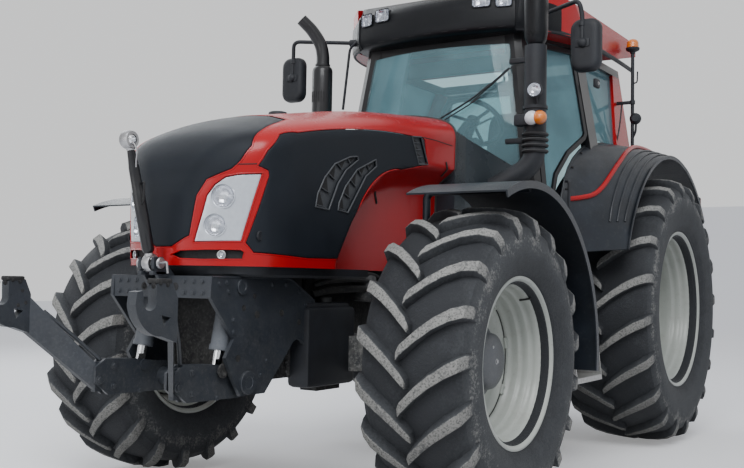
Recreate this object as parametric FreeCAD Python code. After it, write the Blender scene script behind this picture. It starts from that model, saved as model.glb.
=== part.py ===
import FreeCAD, Part
import math
import os

# A four-cylinder farm tractor with a front linkage. Millimetres. Forward is -Y, the
# tractor's left is +X and up is +Z. It is drawn with the rear axle at y = 0 and the
# ground at z = 0, and moved along Y at the end, so that the origin lies on the ground
# under the middle of its box.

V = FreeCAD.Vector

# Running gear
wheelbase = 2748.0
rear_track = 1736.0
front_tyre_radius = 700.0
front_tyre_width = 520.0
front_bead_radius = 356.0
front_flange_radius = 384.0
front_rim_width = 426.0
rear_tyre_radius = 900.0
rear_tyre_width = 630.0
rear_bead_radius = 492.0
rear_flange_radius = 525.0
rear_rim_width = 526.0
front_lug_count = 19
rear_lug_count = 20
lug_height = 47.0
rim_wall = 12.0
kingpin_half_track = 740.0
front_wheel_offset = 228.0
kingpin_radius = 30.0
axle_pin_radius = 45.0
spindle_radius = 50.0
running_clearance = 0.05
seat_gap = 0.3
moving_gap = 6.0

# Limits of the joints, in degrees, read by whoever writes the joints down
steer_limit = 28.0
oscillation_limit = 7.0
hood_opening = 58.0
door_opening = 75.0
rear_window_opening = 40.0
steering_wheel_turns_per_steer = 20.0
arms_down = 50.0
arms_up = 6.0
front_top_link_down = 65.0
rear_arm_up = 46.0
rear_arm_down = 34.0
rear_link_ratio = 0.585
rear_rod_ratio = 0.92
rear_top_link_down = 36.0
rear_top_link_up = 34.0

# Front and rear axle places
front_axle_y = -wheelbase
front_axle_z = front_tyre_radius
rear_axle_z = rear_tyre_radius
front_wheel_x = kingpin_half_track + front_wheel_offset
rear_wheel_x = rear_track / 2

# Hood
hood_low_z = 1105.0
hood_wall = 14.0
hood_half_width = 430.0
nose_y = front_axle_y - 1017.0
hood_rear_y = -1970.0
hood_hinge_y = hood_rear_y - 20.0
hood_hinge_z = 1965.0

# Cab: the side planes lean in and the doors' planes also close towards the front
cab_floor_z = 1240.0
cab_floor_thickness = 60.0
cab_roof_low_z = 2570.0
b_pillar_y = -920.0
b_pillar_depth = 170.0
cab_rear_y = -50.0
side_x_at_floor_level_0 = 1158.0
side_lean = 0.1763
door_x_offset = 1484.0
door_x_slope = 0.3544
glass_thickness = 6.0
pillar_thickness = 60.0
door_thickness = 32.0
door_frame_width = 30.0
sill_z = 1262.0


# Drawing helpers

PLANE_POINT = {
    "x": lambda a, b, t: V(t, a, b),
    "y": lambda a, b, t: V(a, t, b),
    "z": lambda a, b, t: V(a, b, t),
}
PLANE_NORMAL = {"x": V(1, 0, 0), "y": V(0, 1, 0), "z": V(0, 0, 1)}


def outline(to_point, steps):
    """A closed wire. A step is a corner (a, b), or (via, end) for an arc."""
    first = steps[0]
    here = first
    edges = []
    for step in steps[1:] + [first]:
        if isinstance(step[0], tuple):
            via, end = step
            arc = Part.Arc(to_point(*here), to_point(*via), to_point(*end))
            edges.append(arc.toShape())
        else:
            end = step
            if end != here:
                edges.append(Part.LineSegment(to_point(*here), to_point(*end)).toShape())
        here = end
    return Part.Wire(edges)


def prism(axis, low, high, steps):
    """An outline across an axis, swept along it from low to high.
    Its corners are (y, z) across x, (x, z) across y and (x, y) across z."""
    place = PLANE_POINT[axis]
    wire = outline(lambda a, b: place(a, b, low), steps)
    return Part.Face(wire).extrude(PLANE_NORMAL[axis] * (high - low))


def box(x, y, z):
    """A block from three (low, high) pairs."""
    return Part.makeBox(x[1] - x[0], y[1] - y[0], z[1] - z[0], V(x[0], y[0], z[0]))


def rod(start, end, radius):
    """A round bar from one point to another."""
    a, b = V(*start), V(*end)
    return Part.makeCylinder(radius, (b - a).Length, a, b - a)


def hollow_rod(start, end, radius, bore):
    return rod(start, end, radius).cut(rod(start, end, bore))


def bent_tube(points, radius, bend):
    """A round tube: straight runs joined by tangent arcs of one bend radius."""
    corners = [V(*p) for p in points]
    edges = []
    here = corners[0]
    for before, corner, after in zip(corners, corners[1:], corners[2:]):
        back = (before - corner).normalize()
        on = (after - corner).normalize()
        half = back.getAngle(on) / 2
        trim = bend / math.tan(half)
        start, end = corner + back * trim, corner + on * trim
        middle = (back + on).normalize()
        via = corner + middle * (bend / math.sin(half) - bend)
        edges.append(Part.LineSegment(here, start).toShape())
        edges.append(Part.Arc(start, via, end).toShape())
        here = end
    edges.append(Part.LineSegment(here, corners[-1]).toShape())
    circle = Part.Wire([Part.makeCircle(radius, corners[0], corners[1] - corners[0])])
    return Part.Wire(edges).makePipeShell([circle], True, False)


def fuse(*shapes):
    return shapes[0].multiFuse(list(shapes[1:])).removeSplitter()


def cut(shape, *tools):
    return shape.cut(list(tools))


def mirror(shape):
    return shape.mirror(V(0, 0, 0), V(1, 0, 0))


def both(shape):
    """The shape and its mirror image, as solids that don't touch."""
    return Part.makeCompound(shape.Solids + mirror(shape).Solids)


def turned(profile, centre, axis=V(1, 0, 0)):
    """A closed (offset, radius) outline turned about an axis through a centre."""
    centre = V(*centre)
    out = V(0, 0, 1)
    wire = outline(lambda a, r: centre + axis * a + out * r, profile)
    return Part.Face(wire).revolve(centre, axis, 360)


def polar(centre, radius, degrees):
    """A (y, z) point; 0 degrees is to the rear and 90 is up."""
    turn = math.radians(degrees)
    return (centre[0] + radius * math.cos(turn), centre[1] + radius * math.sin(turn))


def arc_band(centre, inner, outer, start, end):
    """Outline of a curved strip between two angles about a (y, z) centre."""
    middle = (start + end) / 2
    return [
        polar(centre, inner, start),
        (polar(centre, inner, middle), polar(centre, inner, end)),
        polar(centre, outer, end),
        (polar(centre, outer, middle), polar(centre, outer, start)),
    ]


# Wheels

# Tyre lugs: how far back a lug's outer end lies, and half its width at both ends
LUG_SWEEP = 205.0
LUG_HALF_WIDTHS = (15.0, 27.0)
LUG_SHOULDER_DROP = 34.0


def flat_solid(faces):
    """A solid inside flat faces, each given by its corners in order."""
    sides = [Part.Face(Part.makePolygon(corners + corners[:1])) for corners in faces]
    shell = Part.makeShell(sides)
    shell.sewShape()
    return Part.makeSolid(shell)


def wheel_point(centre, x, radius, angle):
    """A point of a wheel; the angle is in radians from the front upwards."""
    return V(centre[0] + x, centre[1] - radius * math.cos(angle),
             centre[2] + radius * math.sin(angle))


def tyre_casing(centre, rings, facets):
    """A tyre's body in flat facets; rings are (offset, radius) all the way round."""
    turns = [math.tau * index / facets for index in range(facets)]
    rows = [[wheel_point(centre, x, radius, turn) for turn in turns] for x, radius in rings]
    faces = []
    for one, two in zip(rows, rows[1:] + rows[:1]):
        for index in range(facets):
            after = (index + 1) % facets
            faces.append([one[index], one[after], two[after], two[index]])
    return flat_solid(faces)


def tyre_lug(centre, radius, half, start, hand):
    """One bar from the tread's middle to the shoulder, on the side that hand gives."""
    sweep = LUG_SWEEP / radius
    root_x, tip_x = -22.0 * hand, half * 0.9 * hand
    middle = start + sweep / 2
    across = V(0, math.sin(middle), math.cos(middle))
    narrow, wide = LUG_HALF_WIDTHS
    spread = narrow * math.cos(sweep / 2)
    reach = math.sqrt(radius ** 2 - spread ** 2) - narrow * math.sin(sweep / 2)
    first = wheel_point(centre, root_x, reach, start)
    last = wheel_point(centre, tip_x, radius - LUG_SHOULDER_DROP, start + sweep)
    corners = [first - across * narrow, first + across * narrow,
               last + across * wide, last - across * wide]
    top = Part.Face(Part.makePolygon(corners + corners[:1]))
    inward = V(0, math.cos(middle), -math.sin(middle))
    return top.extrude(inward * (lug_height + 40.0))


def tyre(centre_x, axle_y, axle_z, radius, width, flange, rim_width, lugs):
    """A tyre in flat facets around the rim's flanges, with its lugs."""
    centre = (centre_x, axle_y, axle_z)
    half = width / 2
    bore = flange / math.cos(math.pi / lugs)
    seat = rim_width / 2
    right = [(half * 0.7, radius - lug_height - 2), (half * 0.97, radius - lug_height - 90),
             (half, radius - lug_height - 145), (half * 0.92, flange + 40), (seat, bore)]
    casing = tyre_casing(centre, [(-x, r) for x, r in reversed(right)] + right, lugs)
    pitch = math.tau / lugs
    lowest = 0.75 * lugs % 1.0
    bars = []
    for hand, phase in ((1, lowest), (-1, lowest + 0.5)):
        for index in range(lugs):
            bars.append(tyre_lug(centre, radius, half, pitch * (index + phase), hand))
    return casing.multiFuse(bars)


def rim(centre_x, axle_y, axle_z, bead, flange, rim_width, disc_x, hub_radius, outward):
    """A rim with its drop centre and its dished disc; outward is +1 on the left."""
    half = rim_width / 2
    wall = rim_wall
    drop = 28.0
    barrel = [
        (-half, flange), (-half, bead - wall), (-half + 60, bead - wall),
        (-half + 90, bead - wall - drop), (half - 90, bead - wall - drop),
        (half - 60, bead - wall), (half, bead - wall), (half, flange),
        (half - wall, flange), (half - wall, bead), (half - 55, bead),
        (half - 85, bead - drop), (-half + 85, bead - drop), (-half + 55, bead),
        (-half + wall, bead), (-half + wall, flange),
    ]
    lip = bead - wall - drop / 2
    disc = [
        (disc_x, hub_radius), (disc_x + wall, hub_radius),
        (disc_x + wall, lip - 130), (disc_x + wall - 60, lip),
        (disc_x - 60, lip), (disc_x, lip - 134),
    ]
    disc = [(a * outward, r) for a, r in disc]
    centre = (centre_x, axle_y, axle_z)
    return fuse(turned(barrel, centre), turned(disc, centre))


def hub(centre_x, axle_y, axle_z, low, high, radius, flange_radius, flange_at, outward):
    """A wheel hub with its bolting flange, bored for the spindle."""
    nose = 30.0
    profile = [
        (low, spindle_radius + running_clearance), (low, radius),
        (flange_at - 18, radius), (flange_at - 18, flange_radius),
        (flange_at, flange_radius), (flange_at, radius), (high - nose, radius),
        ((high - nose * 0.3, radius - nose * 0.3), (high, radius - nose)),
        (high, 0), (high - 40, 0), (high - 40, spindle_radius + running_clearance),
    ]
    profile = [mirror_step(step, outward) for step in profile]
    return turned(profile, (centre_x, axle_y, axle_z))


def mirror_step(step, sign):
    if isinstance(step[0], tuple):
        return tuple((a * sign, r) for a, r in step)
    return (step[0] * sign, step[1])


front_hub_radius = 135.0
front_hub_low = -62.0
front_hub_high = 96.0
front_disc_x = 12.0
rear_hub_radius = 120.0
rear_hub_low = -150.0
rear_hub_high = 40.0
rear_disc_x = -62.0
hub_flange_extra = 45.0


def front_wheel():
    place = (front_wheel_x, front_axle_y, front_axle_z)
    metal = rim(*place, front_bead_radius, front_flange_radius, front_rim_width,
                front_disc_x, front_hub_radius, 1)
    centre = hub(*place, front_hub_low, front_hub_high, front_hub_radius,
                 front_hub_radius + hub_flange_extra, front_disc_x, 1)
    return {
        "tyre": tyre(*place, front_tyre_radius, front_tyre_width, front_flange_radius,
                     front_rim_width, front_lug_count),
        "rim": fuse(metal, centre),
    }


def rear_wheel():
    place = (rear_wheel_x, 0, rear_axle_z)
    metal = rim(*place, rear_bead_radius, rear_flange_radius, rear_rim_width,
                rear_disc_x, rear_hub_radius, 1)
    centre = hub(*place, rear_hub_low, rear_hub_high, rear_hub_radius,
                 rear_hub_radius + hub_flange_extra, rear_disc_x, 1)
    return {
        "tyre": tyre(*place, rear_tyre_radius, rear_tyre_width, rear_flange_radius,
                     rear_rim_width, rear_lug_count),
        "rim": fuse(metal, centre),
    }


# Front axle

yoke_half_height = 150.0
yoke_arm = 34.0
knuckle_half_height = yoke_half_height - yoke_arm - 1.0
beam_half_depth = 85.0
beam_half_height = 95.0
pivot_half_length = 250.0


def axle_beam():
    """The oscillating beam: a waisted casting, a yoke at each end and its long pin."""
    z, y = front_axle_z, front_axle_y
    inner_x = kingpin_half_track - 190
    outline_xz = [
        (-inner_x, z - 70), (-150, z - beam_half_height), (150, z - beam_half_height),
        (inner_x, z - 70), (inner_x, z + 70), (150, z + beam_half_height),
        (-150, z + beam_half_height), (-inner_x, z + 70),
    ]
    parts = [prism("y", y - beam_half_depth, y + beam_half_depth, outline_xz)]
    for side in (-1, 1):
        back = sorted((side * inner_x, side * (inner_x + 60)))
        parts.append(box(back, (y - 80, y + 80),
                         (z - yoke_half_height, z + yoke_half_height)))
        reach = sorted((side * inner_x, side * kingpin_half_track))
        for low, high in ((z - yoke_half_height, z - yoke_half_height + yoke_arm),
                          (z + yoke_half_height - yoke_arm, z + yoke_half_height)):
            parts.append(box(reach, (y - 60, y + 60), (low, high)))
            parts.append(rod((side * kingpin_half_track, y, low),
                             (side * kingpin_half_track, y, high), 60))
    parts.append(rod((0, y - pivot_half_length, z), (0, y + pivot_half_length, z),
                     axle_pin_radius))
    beam = fuse(*parts)
    bores = []
    for side in (-1, 1):
        x = side * kingpin_half_track
        bores.append(rod((x, y, z - yoke_half_height - 1), (x, y, z + yoke_half_height + 1),
                         kingpin_radius + running_clearance))
    return cut(beam, *bores)


def knuckle():
    """Left steering knuckle with its kingpins and the wheel's spindle."""
    x, y, z = kingpin_half_track, front_axle_y, front_axle_z
    hub_face = front_wheel_x + front_hub_low - 1.0
    spindle_end = front_wheel_x + front_hub_high - 42.0
    housing = rod((x, y, z - knuckle_half_height), (x, y, z + knuckle_half_height), 95)
    pin = rod((x, y, z - yoke_half_height), (x, y, z + yoke_half_height), kingpin_radius)
    drum = rod((x + 40, y, z), (hub_face, y, z), 112)
    spindle = rod((x, y, z), (spindle_end, y, z), spindle_radius)
    arm = prism("z", z - 40, z - 10, [(x - 30, y), (x - 60, y + 190), (x - 20, y + 200),
                                      (x + 50, y)])
    return fuse(housing, pin, drum, spindle, arm)


fender_tyre_gap = 100.0
fender_radius = front_tyre_radius + fender_tyre_gap
fender_thickness = 8.0
fender_inner_x = front_wheel_x - 203.0
fender_outer_x = front_wheel_x + 287.0
fender_front_angle = 113.0
fender_rear_angle = -6.0


def front_fender():
    """Left front fender: a thin curved sheet with turned edges on a bent tube."""
    y, z = front_axle_y, front_axle_z
    centre = (y, z)
    band = prism("x", fender_inner_x, fender_outer_x,
                 arc_band(centre, fender_radius, fender_radius + fender_thickness,
                          fender_rear_angle, fender_front_angle))
    lip_depth = 26.0
    edge = prism("x", fender_outer_x - fender_thickness, fender_outer_x,
                 arc_band(centre, fender_radius - lip_depth,
                          fender_radius + fender_thickness,
                          fender_rear_angle, fender_front_angle))
    tube = 19.0
    run_x = kingpin_half_track - 82
    under = z + fender_radius - tube + 4
    post_y = y + 60
    over_yoke = z + yoke_half_height + 60
    bracket = bent_tube([(kingpin_half_track + 95, post_y, z + 80),
                         (kingpin_half_track + 70, post_y, over_yoke),
                         (run_x, post_y, over_yoke + 10),
                         (run_x, post_y, under),
                         (fender_outer_x - 60, post_y, under)], tube, 40)
    hooks = [box((fender_inner_x, fender_outer_x - 20), (post_y - 25, post_y + 25),
                 (under + tube - 6, z + fender_radius + 2))]
    return fuse(band, edge, bracket, *hooks)


# Chassis

support_top_z = 985.0
support_half_width = 190.0
hanger_gap = 8.0


def front_support():
    """Casting under the engine that carries the axle beam between two hangers."""
    y, z = front_axle_y, front_axle_z
    clear_top = z + beam_half_height + support_half_width * math.sin(
        math.radians(oscillation_limit)) + moving_gap
    front, rear = y - 760, y + 420
    hanger_in = beam_half_depth + hanger_gap
    hanger_out = pivot_half_length + 10
    body = prism("x", -support_half_width, support_half_width, [
        (front, 640), (front + 40, 600), (y - hanger_out, 600), (y - hanger_out, z - 80),
        (y - hanger_in, z - 80), (y - hanger_in, clear_top), (y + hanger_in, clear_top),
        (y + hanger_in, z - 80), (y + hanger_out, z - 80), (y + hanger_out, clear_top - 40),
        (rear, clear_top - 40), (rear, support_top_z), (front, support_top_z)])
    bore = rod((0, y - pivot_half_length - 2, z), (0, y + pivot_half_length + 2, z),
               axle_pin_radius + running_clearance)
    return cut(body, bore)


engine_front_y = front_axle_y - 330.0
engine_rear_y = hood_rear_y - 138.0
engine_half_width = 225.0
engine_top_z = 1560.0


def engine():
    """Engine block, one plain mass with its sump and flywheel housing."""
    return prism("x", -engine_half_width, engine_half_width, [
        (engine_front_y, support_top_z), (engine_rear_y, support_top_z),
        (engine_rear_y, engine_top_z - 180), (engine_rear_y - 120, engine_top_z),
        (engine_front_y, engine_top_z)])


gearbox_half_width = 205.0
gearbox_low_z = 620.0
gearbox_top_z = 1130.0
axle_house_half_width = 265.0
axle_house_half_depth = 270.0


def transmission():
    """Gearbox and rear axle centre housing, from the engine to the rear linkage."""
    rear = axle_house_half_depth
    low_front = front_axle_y + 420
    body = prism("x", -gearbox_half_width, gearbox_half_width, [
        (low_front, 760), (low_front + 140, gearbox_low_z), (-rear, gearbox_low_z - 20),
        (rear, gearbox_low_z - 40), (rear, gearbox_top_z), (engine_rear_y, gearbox_top_z),
        (engine_rear_y, support_top_z), (low_front, support_top_z)])
    house = box((-axle_house_half_width, axle_house_half_width), (-rear, rear),
                (gearbox_low_z - 40, gearbox_top_z + 50))
    return fuse(body, house)


trumpet_radius = 118.0


def rear_axles():
    """Axle trumpets with the wheels' spindles, one on each side of the housing."""
    face = rear_wheel_x + rear_hub_low - 1.0
    end = rear_wheel_x + rear_hub_high - 42.0
    z = rear_axle_z
    trumpet = fuse(
        rod((axle_house_half_width, 0, z), (face - 30, 0, z), trumpet_radius),
        rod((axle_house_half_width, 0, z), (axle_house_half_width + 40, 0, z), 165),
        rod((face - 60, 0, z), (face, 0, z), 140),
        rod((face - 40, 0, z), (end, 0, z), spindle_radius))
    return both(trumpet)


tank_low_z = 480.0
tank_top_z = 1165.0
tank_front_y = front_axle_y + 1058.0
tank_rear_y = -985.0
tank_length = tank_rear_y - tank_front_y
tank_inner_x = gearbox_half_width + 110.0
tank_outer_x = 800.0


def tank():
    """Fuel tank beside the gearbox, with rounded long edges."""
    corner = 70.0
    low, high = tank_low_z, tank_top_z
    x0, x1 = tank_inner_x, tank_outer_x
    return prism("y", tank_front_y, tank_rear_y, [
        (x0, high), (x0, low + corner),
        ((x0 + corner * 0.29, low + corner * 0.29), (x0 + corner, low)), (x1 - corner, low),
        ((x1 - corner * 0.29, low + corner * 0.29), (x1, low + corner)), (x1, high)])


def tank_straps():
    """Cross bars that carry the tank and the box from the gearbox."""
    bars = []
    for y in (tank_front_y + 120, tank_rear_y - 120):
        bars.append(box((gearbox_half_width, tank_inner_x), (y - 30, y + 30), (820, 960)))
    return bars


step_width = 190.0
step_levels = ((500.0, 905.0), (790.0, 870.0), (1080.0, 835.0))
step_front_y = tank_front_y + 0.184 * tank_length
step_rear_y = tank_rear_y - 0.277 * tank_length


def steps():
    """Three treads between two cheek plates on the outside of the tank."""
    cheek = 10.0
    parts = []
    for level, outer in step_levels:
        parts.append(box((tank_outer_x + 20, outer + step_width / 2),
                         (step_front_y, step_rear_y), (level, level + 30)))
    low_outer = step_levels[0][1] + step_width / 2
    top_outer = step_levels[-1][1] + step_width / 2
    for y in (step_front_y - cheek, step_rear_y):
        parts.append(prism("y", y, y + cheek, [
            (tank_outer_x, step_levels[0][0]), (low_outer, step_levels[0][0]),
            (top_outer, step_levels[-1][0] + 30), (tank_outer_x, step_levels[-1][0] + 30)]))
    return fuse(*parts)


# Hood

# Front to rear: distance behind the nose, half width, shoulder height, crown height
HOOD_SECTIONS = (
    (0.0, 110.0, 1290.0, 1400.0),
    (22.0, 180.0, 1400.0, 1530.0),
    (60.0, 262.0, 1480.0, 1612.0),
    (121.0, 350.0, 1540.0, 1682.0),
    (205.0, 412.0, 1590.0, 1730.0),
    (330.0, 430.0, 1640.0, 1778.0),
    (765.0, 430.0, 1725.0, 1868.0),
    (1225.0, 430.0, 1790.0, 1948.0),
    (1795.0, 430.0, 1850.0, 2008.0),
)
hood_low_tuck = 18.0
nose_length = 330.0


def hood_y(back):
    """Place of a drawn distance behind the nose; behind the nose block it follows the length."""
    if back <= nose_length:
        return nose_y + back
    share = (back - nose_length) / (HOOD_SECTIONS[-1][0] - nose_length)
    return nose_y + nose_length + share * (hood_rear_y - nose_y - nose_length)


def hood_section(y, half_width, shoulder_z, crown_z, inset):
    """One hood section: upright sides, rounded shoulders and a low crown."""
    w = half_width - inset
    low = hood_low_z
    shoulder = shoulder_z
    crown = crown_z - inset
    inner = w * 0.66
    top = crown - inner * inner / 2600.0
    via = (inner + (w - inner) * 0.74, shoulder + (top - shoulder) * 0.74)
    foot = w - hood_low_tuck
    steps = [
        (-foot, low), (foot, low), (w, shoulder), (via, (inner, top)),
        ((0, crown), (-inner, top)), ((-via[0], via[1]), (-w, shoulder)),
    ]
    return outline(lambda a, b: V(a, y, b), steps)


def hood_solid(inset):
    """The hood's full form; an inset gives the space inside its wall."""
    stations = []
    for back, half_width, shoulder, crown in HOOD_SECTIONS:
        y = hood_y(back) + inset * (1.0 if back < 700 else 0.0)
        stations.append(hood_section(y, half_width, shoulder, crown, inset))
    return Part.makeLoft(stations, True, True)


scoop_depth = 120.0


def scoop(grow):
    """The hollow in each flank that leaves room for a steered wheel."""
    y = front_axle_y
    steps = [
        (y - 350 - grow, 1000), (y - 335 - grow, 1150),
        ((y - 225 - grow, 1440 + grow * 0.3), (y + 60, 1600 + grow)),
        (hood_rear_y + 122, 1690 + grow), (hood_rear_y + 122, 1000)]
    return prism("x", hood_half_width - scoop_depth - grow, hood_half_width + 100, steps)


def hood_shell():
    """The hood's whole skin, before its panels are taken out of it."""
    outer = cut(hood_solid(0), scoop(0), mirror(scoop(0)))
    inner = cut(hood_solid(hood_wall), scoop(hood_wall), mirror(scoop(hood_wall)))
    below = box((-600, 600), (nose_y - 50, hood_rear_y + 100), (hood_low_z - 50, hood_low_z + 1))
    inner = inner.fuse(below)
    rear = box((-600, 600), (hood_rear_y, hood_rear_y + 400), (900, 2300))
    return cut(outer, inner, rear)


def side_panel_region():
    """Outline of the dark left side panel, seen from the side."""
    y = nose_y
    crown = [((hood_y(835), 1775), (hood_y(1347), 1806)), (hood_y(1428), 1813),
             (hood_y(1454), 1798), (hood_y(1490), 1676), (hood_y(1239), 1640)]
    return prism("x", hood_half_width - 100, hood_half_width + 90, [
        (y + 147, 1525), (y + 179, 1593), (y + 252, 1671), ((y + 292, 1686), (y + 357, 1692))]
        + crown + [((hood_y(937), 1535), (hood_y(814), 1325)),
                   (hood_y(710), 1151), (hood_y(454), 1147), (y + 148, 1162), (y + 122, 1203),
                   (y + 187, 1486), (y + 183, 1508)])


# Louvre recesses in the left side panel, from the side: the front upper edge, then the
# rear lower edge, each from the front corner up
LOUVRES = (
    (((-3271, 1378), (-3259, 1436), (-3210, 1515), (-3135, 1584), (-3014, 1630), (-2951, 1639)),
     ((-3240, 1360), (-3167, 1372), (-3102, 1497), (-3042, 1565), (-2944, 1624))),
    (((-3095, 1377), (-3089, 1408), (-3042, 1488), (-2951, 1576), (-2789, 1643)),
     ((-3069, 1364), (-3014, 1368), (-2937, 1467), (-2871, 1553), (-2781, 1611))),
)
louvre_depth = 8.0
louvre_fin_height = 5.0


def louvres(panel):
    """The side panel with its louvre recesses and the fins along their upper edges."""
    floor_x = hood_half_width - louvre_depth
    shift = front_axle_y + 2748.0
    for upper, lower in LOUVRES:
        upper = [(y + shift, z) for y, z in upper]
        lower = [(y + shift, z) for y, z in lower]
        recess = prism("x", floor_x, hood_half_width + 60, upper + lower[::-1])
        fins = []
        for (y0, z0), (y1, z1) in zip(upper, upper[1:]):
            near = min(lower, key=lambda p: math.hypot(p[0] - y0, p[1] - z0))
            tip = (y0 + (near[0] - y0) * 0.6, z0 + (near[1] - z0) * 0.6)
            along = ((y1 - y0) * 0.45, (z1 - z0) * 0.45)
            fins.append(prism("x", floor_x - 2, floor_x + louvre_fin_height, [
                (y0, z0), (y0 + along[0], z0 + along[1]), tip]))
        panel = panel.cut(recess).multiFuse(fins)
    return panel


# Head lamps: distance from the middle, height, distance behind the nose, lens radius
LAMP_CUPS = ((259.0, 1396.0, 60.0, 48.0), (229.0, 1274.0, 48.0, 46.0))


def lamp_cups(field, region):
    """The lamp field with its round lamps let into it, inside the region's outline."""
    plugs, hollows = [], []
    for x, z, back, radius in LAMP_CUPS:
        y = nose_y + back
        plugs.append(rod((x, y - 60, z), (x, y + 60, z), radius + 8))
        hollows.append(rod((x, y - 90, z), (x, y + 30, z), radius))
    plugs = [plug.common(hood_solid(0)).common(region) for plug in plugs]
    return field.multiFuse(plugs).cut(hollows)


def nose_panel_region():
    """The dark nose panel that runs back over the crown, cut along a slope."""
    y = nose_y
    half = [(46, 1183), (133, 1230), (159, 1399), (196, 1465), (291, 1510), (320, 1545),
            (350, 1620), (330, 1900)]
    return prism("y", y - 60, y + 560, half + [(-x, z) for x, z in reversed(half)])


def head_lamp_region():
    """The left lamp field in the corner of the nose, seen from the front."""
    y = nose_y
    return prism("y", y - 60, y + 260, [
        (148, 1203), (322, 1210), (384, 1496), (313, 1486), (267, 1475), (228, 1443),
        (197, 1398)])


def hood_parts():
    """Splits the skin into the red frame, the dark panels and the lamp fields."""
    shell = hood_shell()
    side = side_panel_region()
    nose = nose_panel_region()
    lamp = head_lamp_region()
    side_panel = louvres(shell.common(side))
    nose_panel = shell.common(nose)
    lamp_field = lamp_cups(shell.common(lamp), lamp)
    frame = cut(shell, side, mirror(side), nose, lamp, mirror(lamp))
    return {
        "hood_frame": frame,
        "hood_panels": Part.makeCompound([nose_panel] + both(cut(side_panel, lamp)).Solids),
        "head_lamps": both(lamp_field),
    }


def cooling_pack():
    """Radiators and coolers behind the nose, one block on the front support."""
    front = front_axle_y - 700
    half_width = plate_outer_x - plate_thickness - 10
    return box((-half_width, half_width), (front, front + 300), (support_top_z, 1580))


def front_boxes():
    """Slim dark boxes beside the front support, behind the linkage plates."""
    y = front_axle_y
    return both(box((support_half_width, 285), (y - 300, y - 110), (535, 925)))


def cowl():
    """Dark cover between the hood and the windscreen."""
    front = hood_rear_y + moving_gap
    rear = -1500.0
    side = prism("x", -700, 700, [
        (front, 1150), (front, 1900), (front + 110, 1880), (rear, 1700), (rear + 40, 1690),
        (rear + 40, 1150)])
    plan = prism("z", 1100, 2000, [
        (-425, front), (425, front), (430, front + 120), (640, rear), (640, rear + 60),
        (-640, rear + 60), (-640, rear), (-430, front + 120)])
    return side.common(plan)


# Cab

def door_x(y, z):
    """Outer face of the left door's plane."""
    return door_x_offset + door_x_slope * y - side_lean * z


def side_x(z):
    """Outer face of the cab's side behind the door."""
    return side_x_at_floor_level_0 - side_lean * z


def sheet_on(x_of, thickness, steps):
    """A flat sheet whose outer face follows x_of(y, z), outlined in (y, z)."""
    wire = outline(lambda y, z: V(x_of(y, z), y, z), steps)
    face = Part.Face(wire)
    a = V(x_of(0, 0), 0, 0)
    across = (V(x_of(100, 0), 100, 0) - a).cross(V(x_of(0, 100), 0, 100) - a)
    across.normalize()
    if across.x > 0:
        across = across * -1
    return face.extrude(across * thickness)


def on_door(y, z):
    return door_x(y, z)


def on_side(y, z):
    return side_x(z)


def a_pillar_y(z):
    return -1402.0 + (z - 2150.0) * 0.0894


A_PILLAR_WIDTH = 62.0
door_gap = 8.0


DOOR_REAR_EDGE = (
    (-1250.0, 1262.0), (-1298.0, 1370.0), (-1309.0, 1475.0), (-1292.0, 1590.0),
    (-1242.0, 1705.0), (-1108.0, 1848.0), (-945.0, 1958.0))


def inset(corners, width):
    """A polygon with each side moved inwards; the corners run anticlockwise."""
    moved = []
    count = len(corners)
    for index in range(count):
        before, here, after = corners[index - 1], corners[index], corners[(index + 1) % count]
        lines = []
        for start, end in ((before, here), (here, after)):
            dy, dz = end[0] - start[0], end[1] - start[1]
            length = math.hypot(dy, dz)
            normal = (-dz / length, dy / length)
            lines.append((normal, normal[0] * start[0] + normal[1] * start[1] + width))
        (a1, b1), c1 = lines[0]
        (a2, b2), c2 = lines[1]
        determinant = a1 * b2 - a2 * b1
        moved.append(((c1 * b2 - c2 * b1) / determinant, (a1 * c2 - a2 * c1) / determinant))
    return moved


def door_outline(width):
    """The door's edge in (y, z), moved inwards; it narrows below beside the fender."""
    top = cab_roof_low_z - 30
    front_low = a_pillar_y(sill_z) + A_PILLAR_WIDTH
    front_top = a_pillar_y(top) + A_PILLAR_WIDTH
    corners = [(front_low, sill_z)] + list(DOOR_REAR_EDGE)
    corners += [(b_pillar_y, 1992), (b_pillar_y, top), (front_top, top)]
    return inset(corners, width) if width else corners


def door_frame():
    outer = sheet_on(on_door, door_thickness, door_outline(0))
    window = sheet_on(lambda y, z: on_door(y, z) + 20, door_thickness + 40,
                      door_outline(door_frame_width))
    return cut(outer, window)


def door_glass():
    return sheet_on(lambda y, z: on_door(y, z) - 10, glass_thickness,
                    door_outline(door_frame_width - 3))


def a_pillar():
    """Left front pillar, a leaning bar whose section follows the door's plane."""
    top = cab_roof_low_z
    low = sill_z - 60
    sections = []
    for z in (low, top):
        y = a_pillar_y(z)
        x = door_x(y, z)
        sections.append(outline(lambda a, b: V(a, b, z), [
            (x, y), (door_x(y + A_PILLAR_WIDTH - door_gap, z), y + A_PILLAR_WIDTH - door_gap),
            (x - 75, y + A_PILLAR_WIDTH - 20), (x - 105, y - 10), (x - 40, y - 22)]))
    return Part.makeLoft(sections, True, True)


def b_pillar():
    """Left middle pillar, behind the door."""
    low, top = 1500, cab_roof_low_z
    y0, y1 = b_pillar_y + door_gap + 12, b_pillar_y + b_pillar_depth
    return sheet_on(on_side, pillar_thickness, [(y0, low), (y1, low), (y1, top), (y0, top)])


def c_pillar():
    """Left rear corner post, wide at its foot."""
    top = cab_roof_low_z
    return sheet_on(on_side, pillar_thickness, [
        (-355, 1500), (cab_rear_y - 21, 1500), (cab_rear_y - 21, 2030),
        (cab_rear_y + 10, top), (-167, top), (-355, 2030)])


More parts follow.
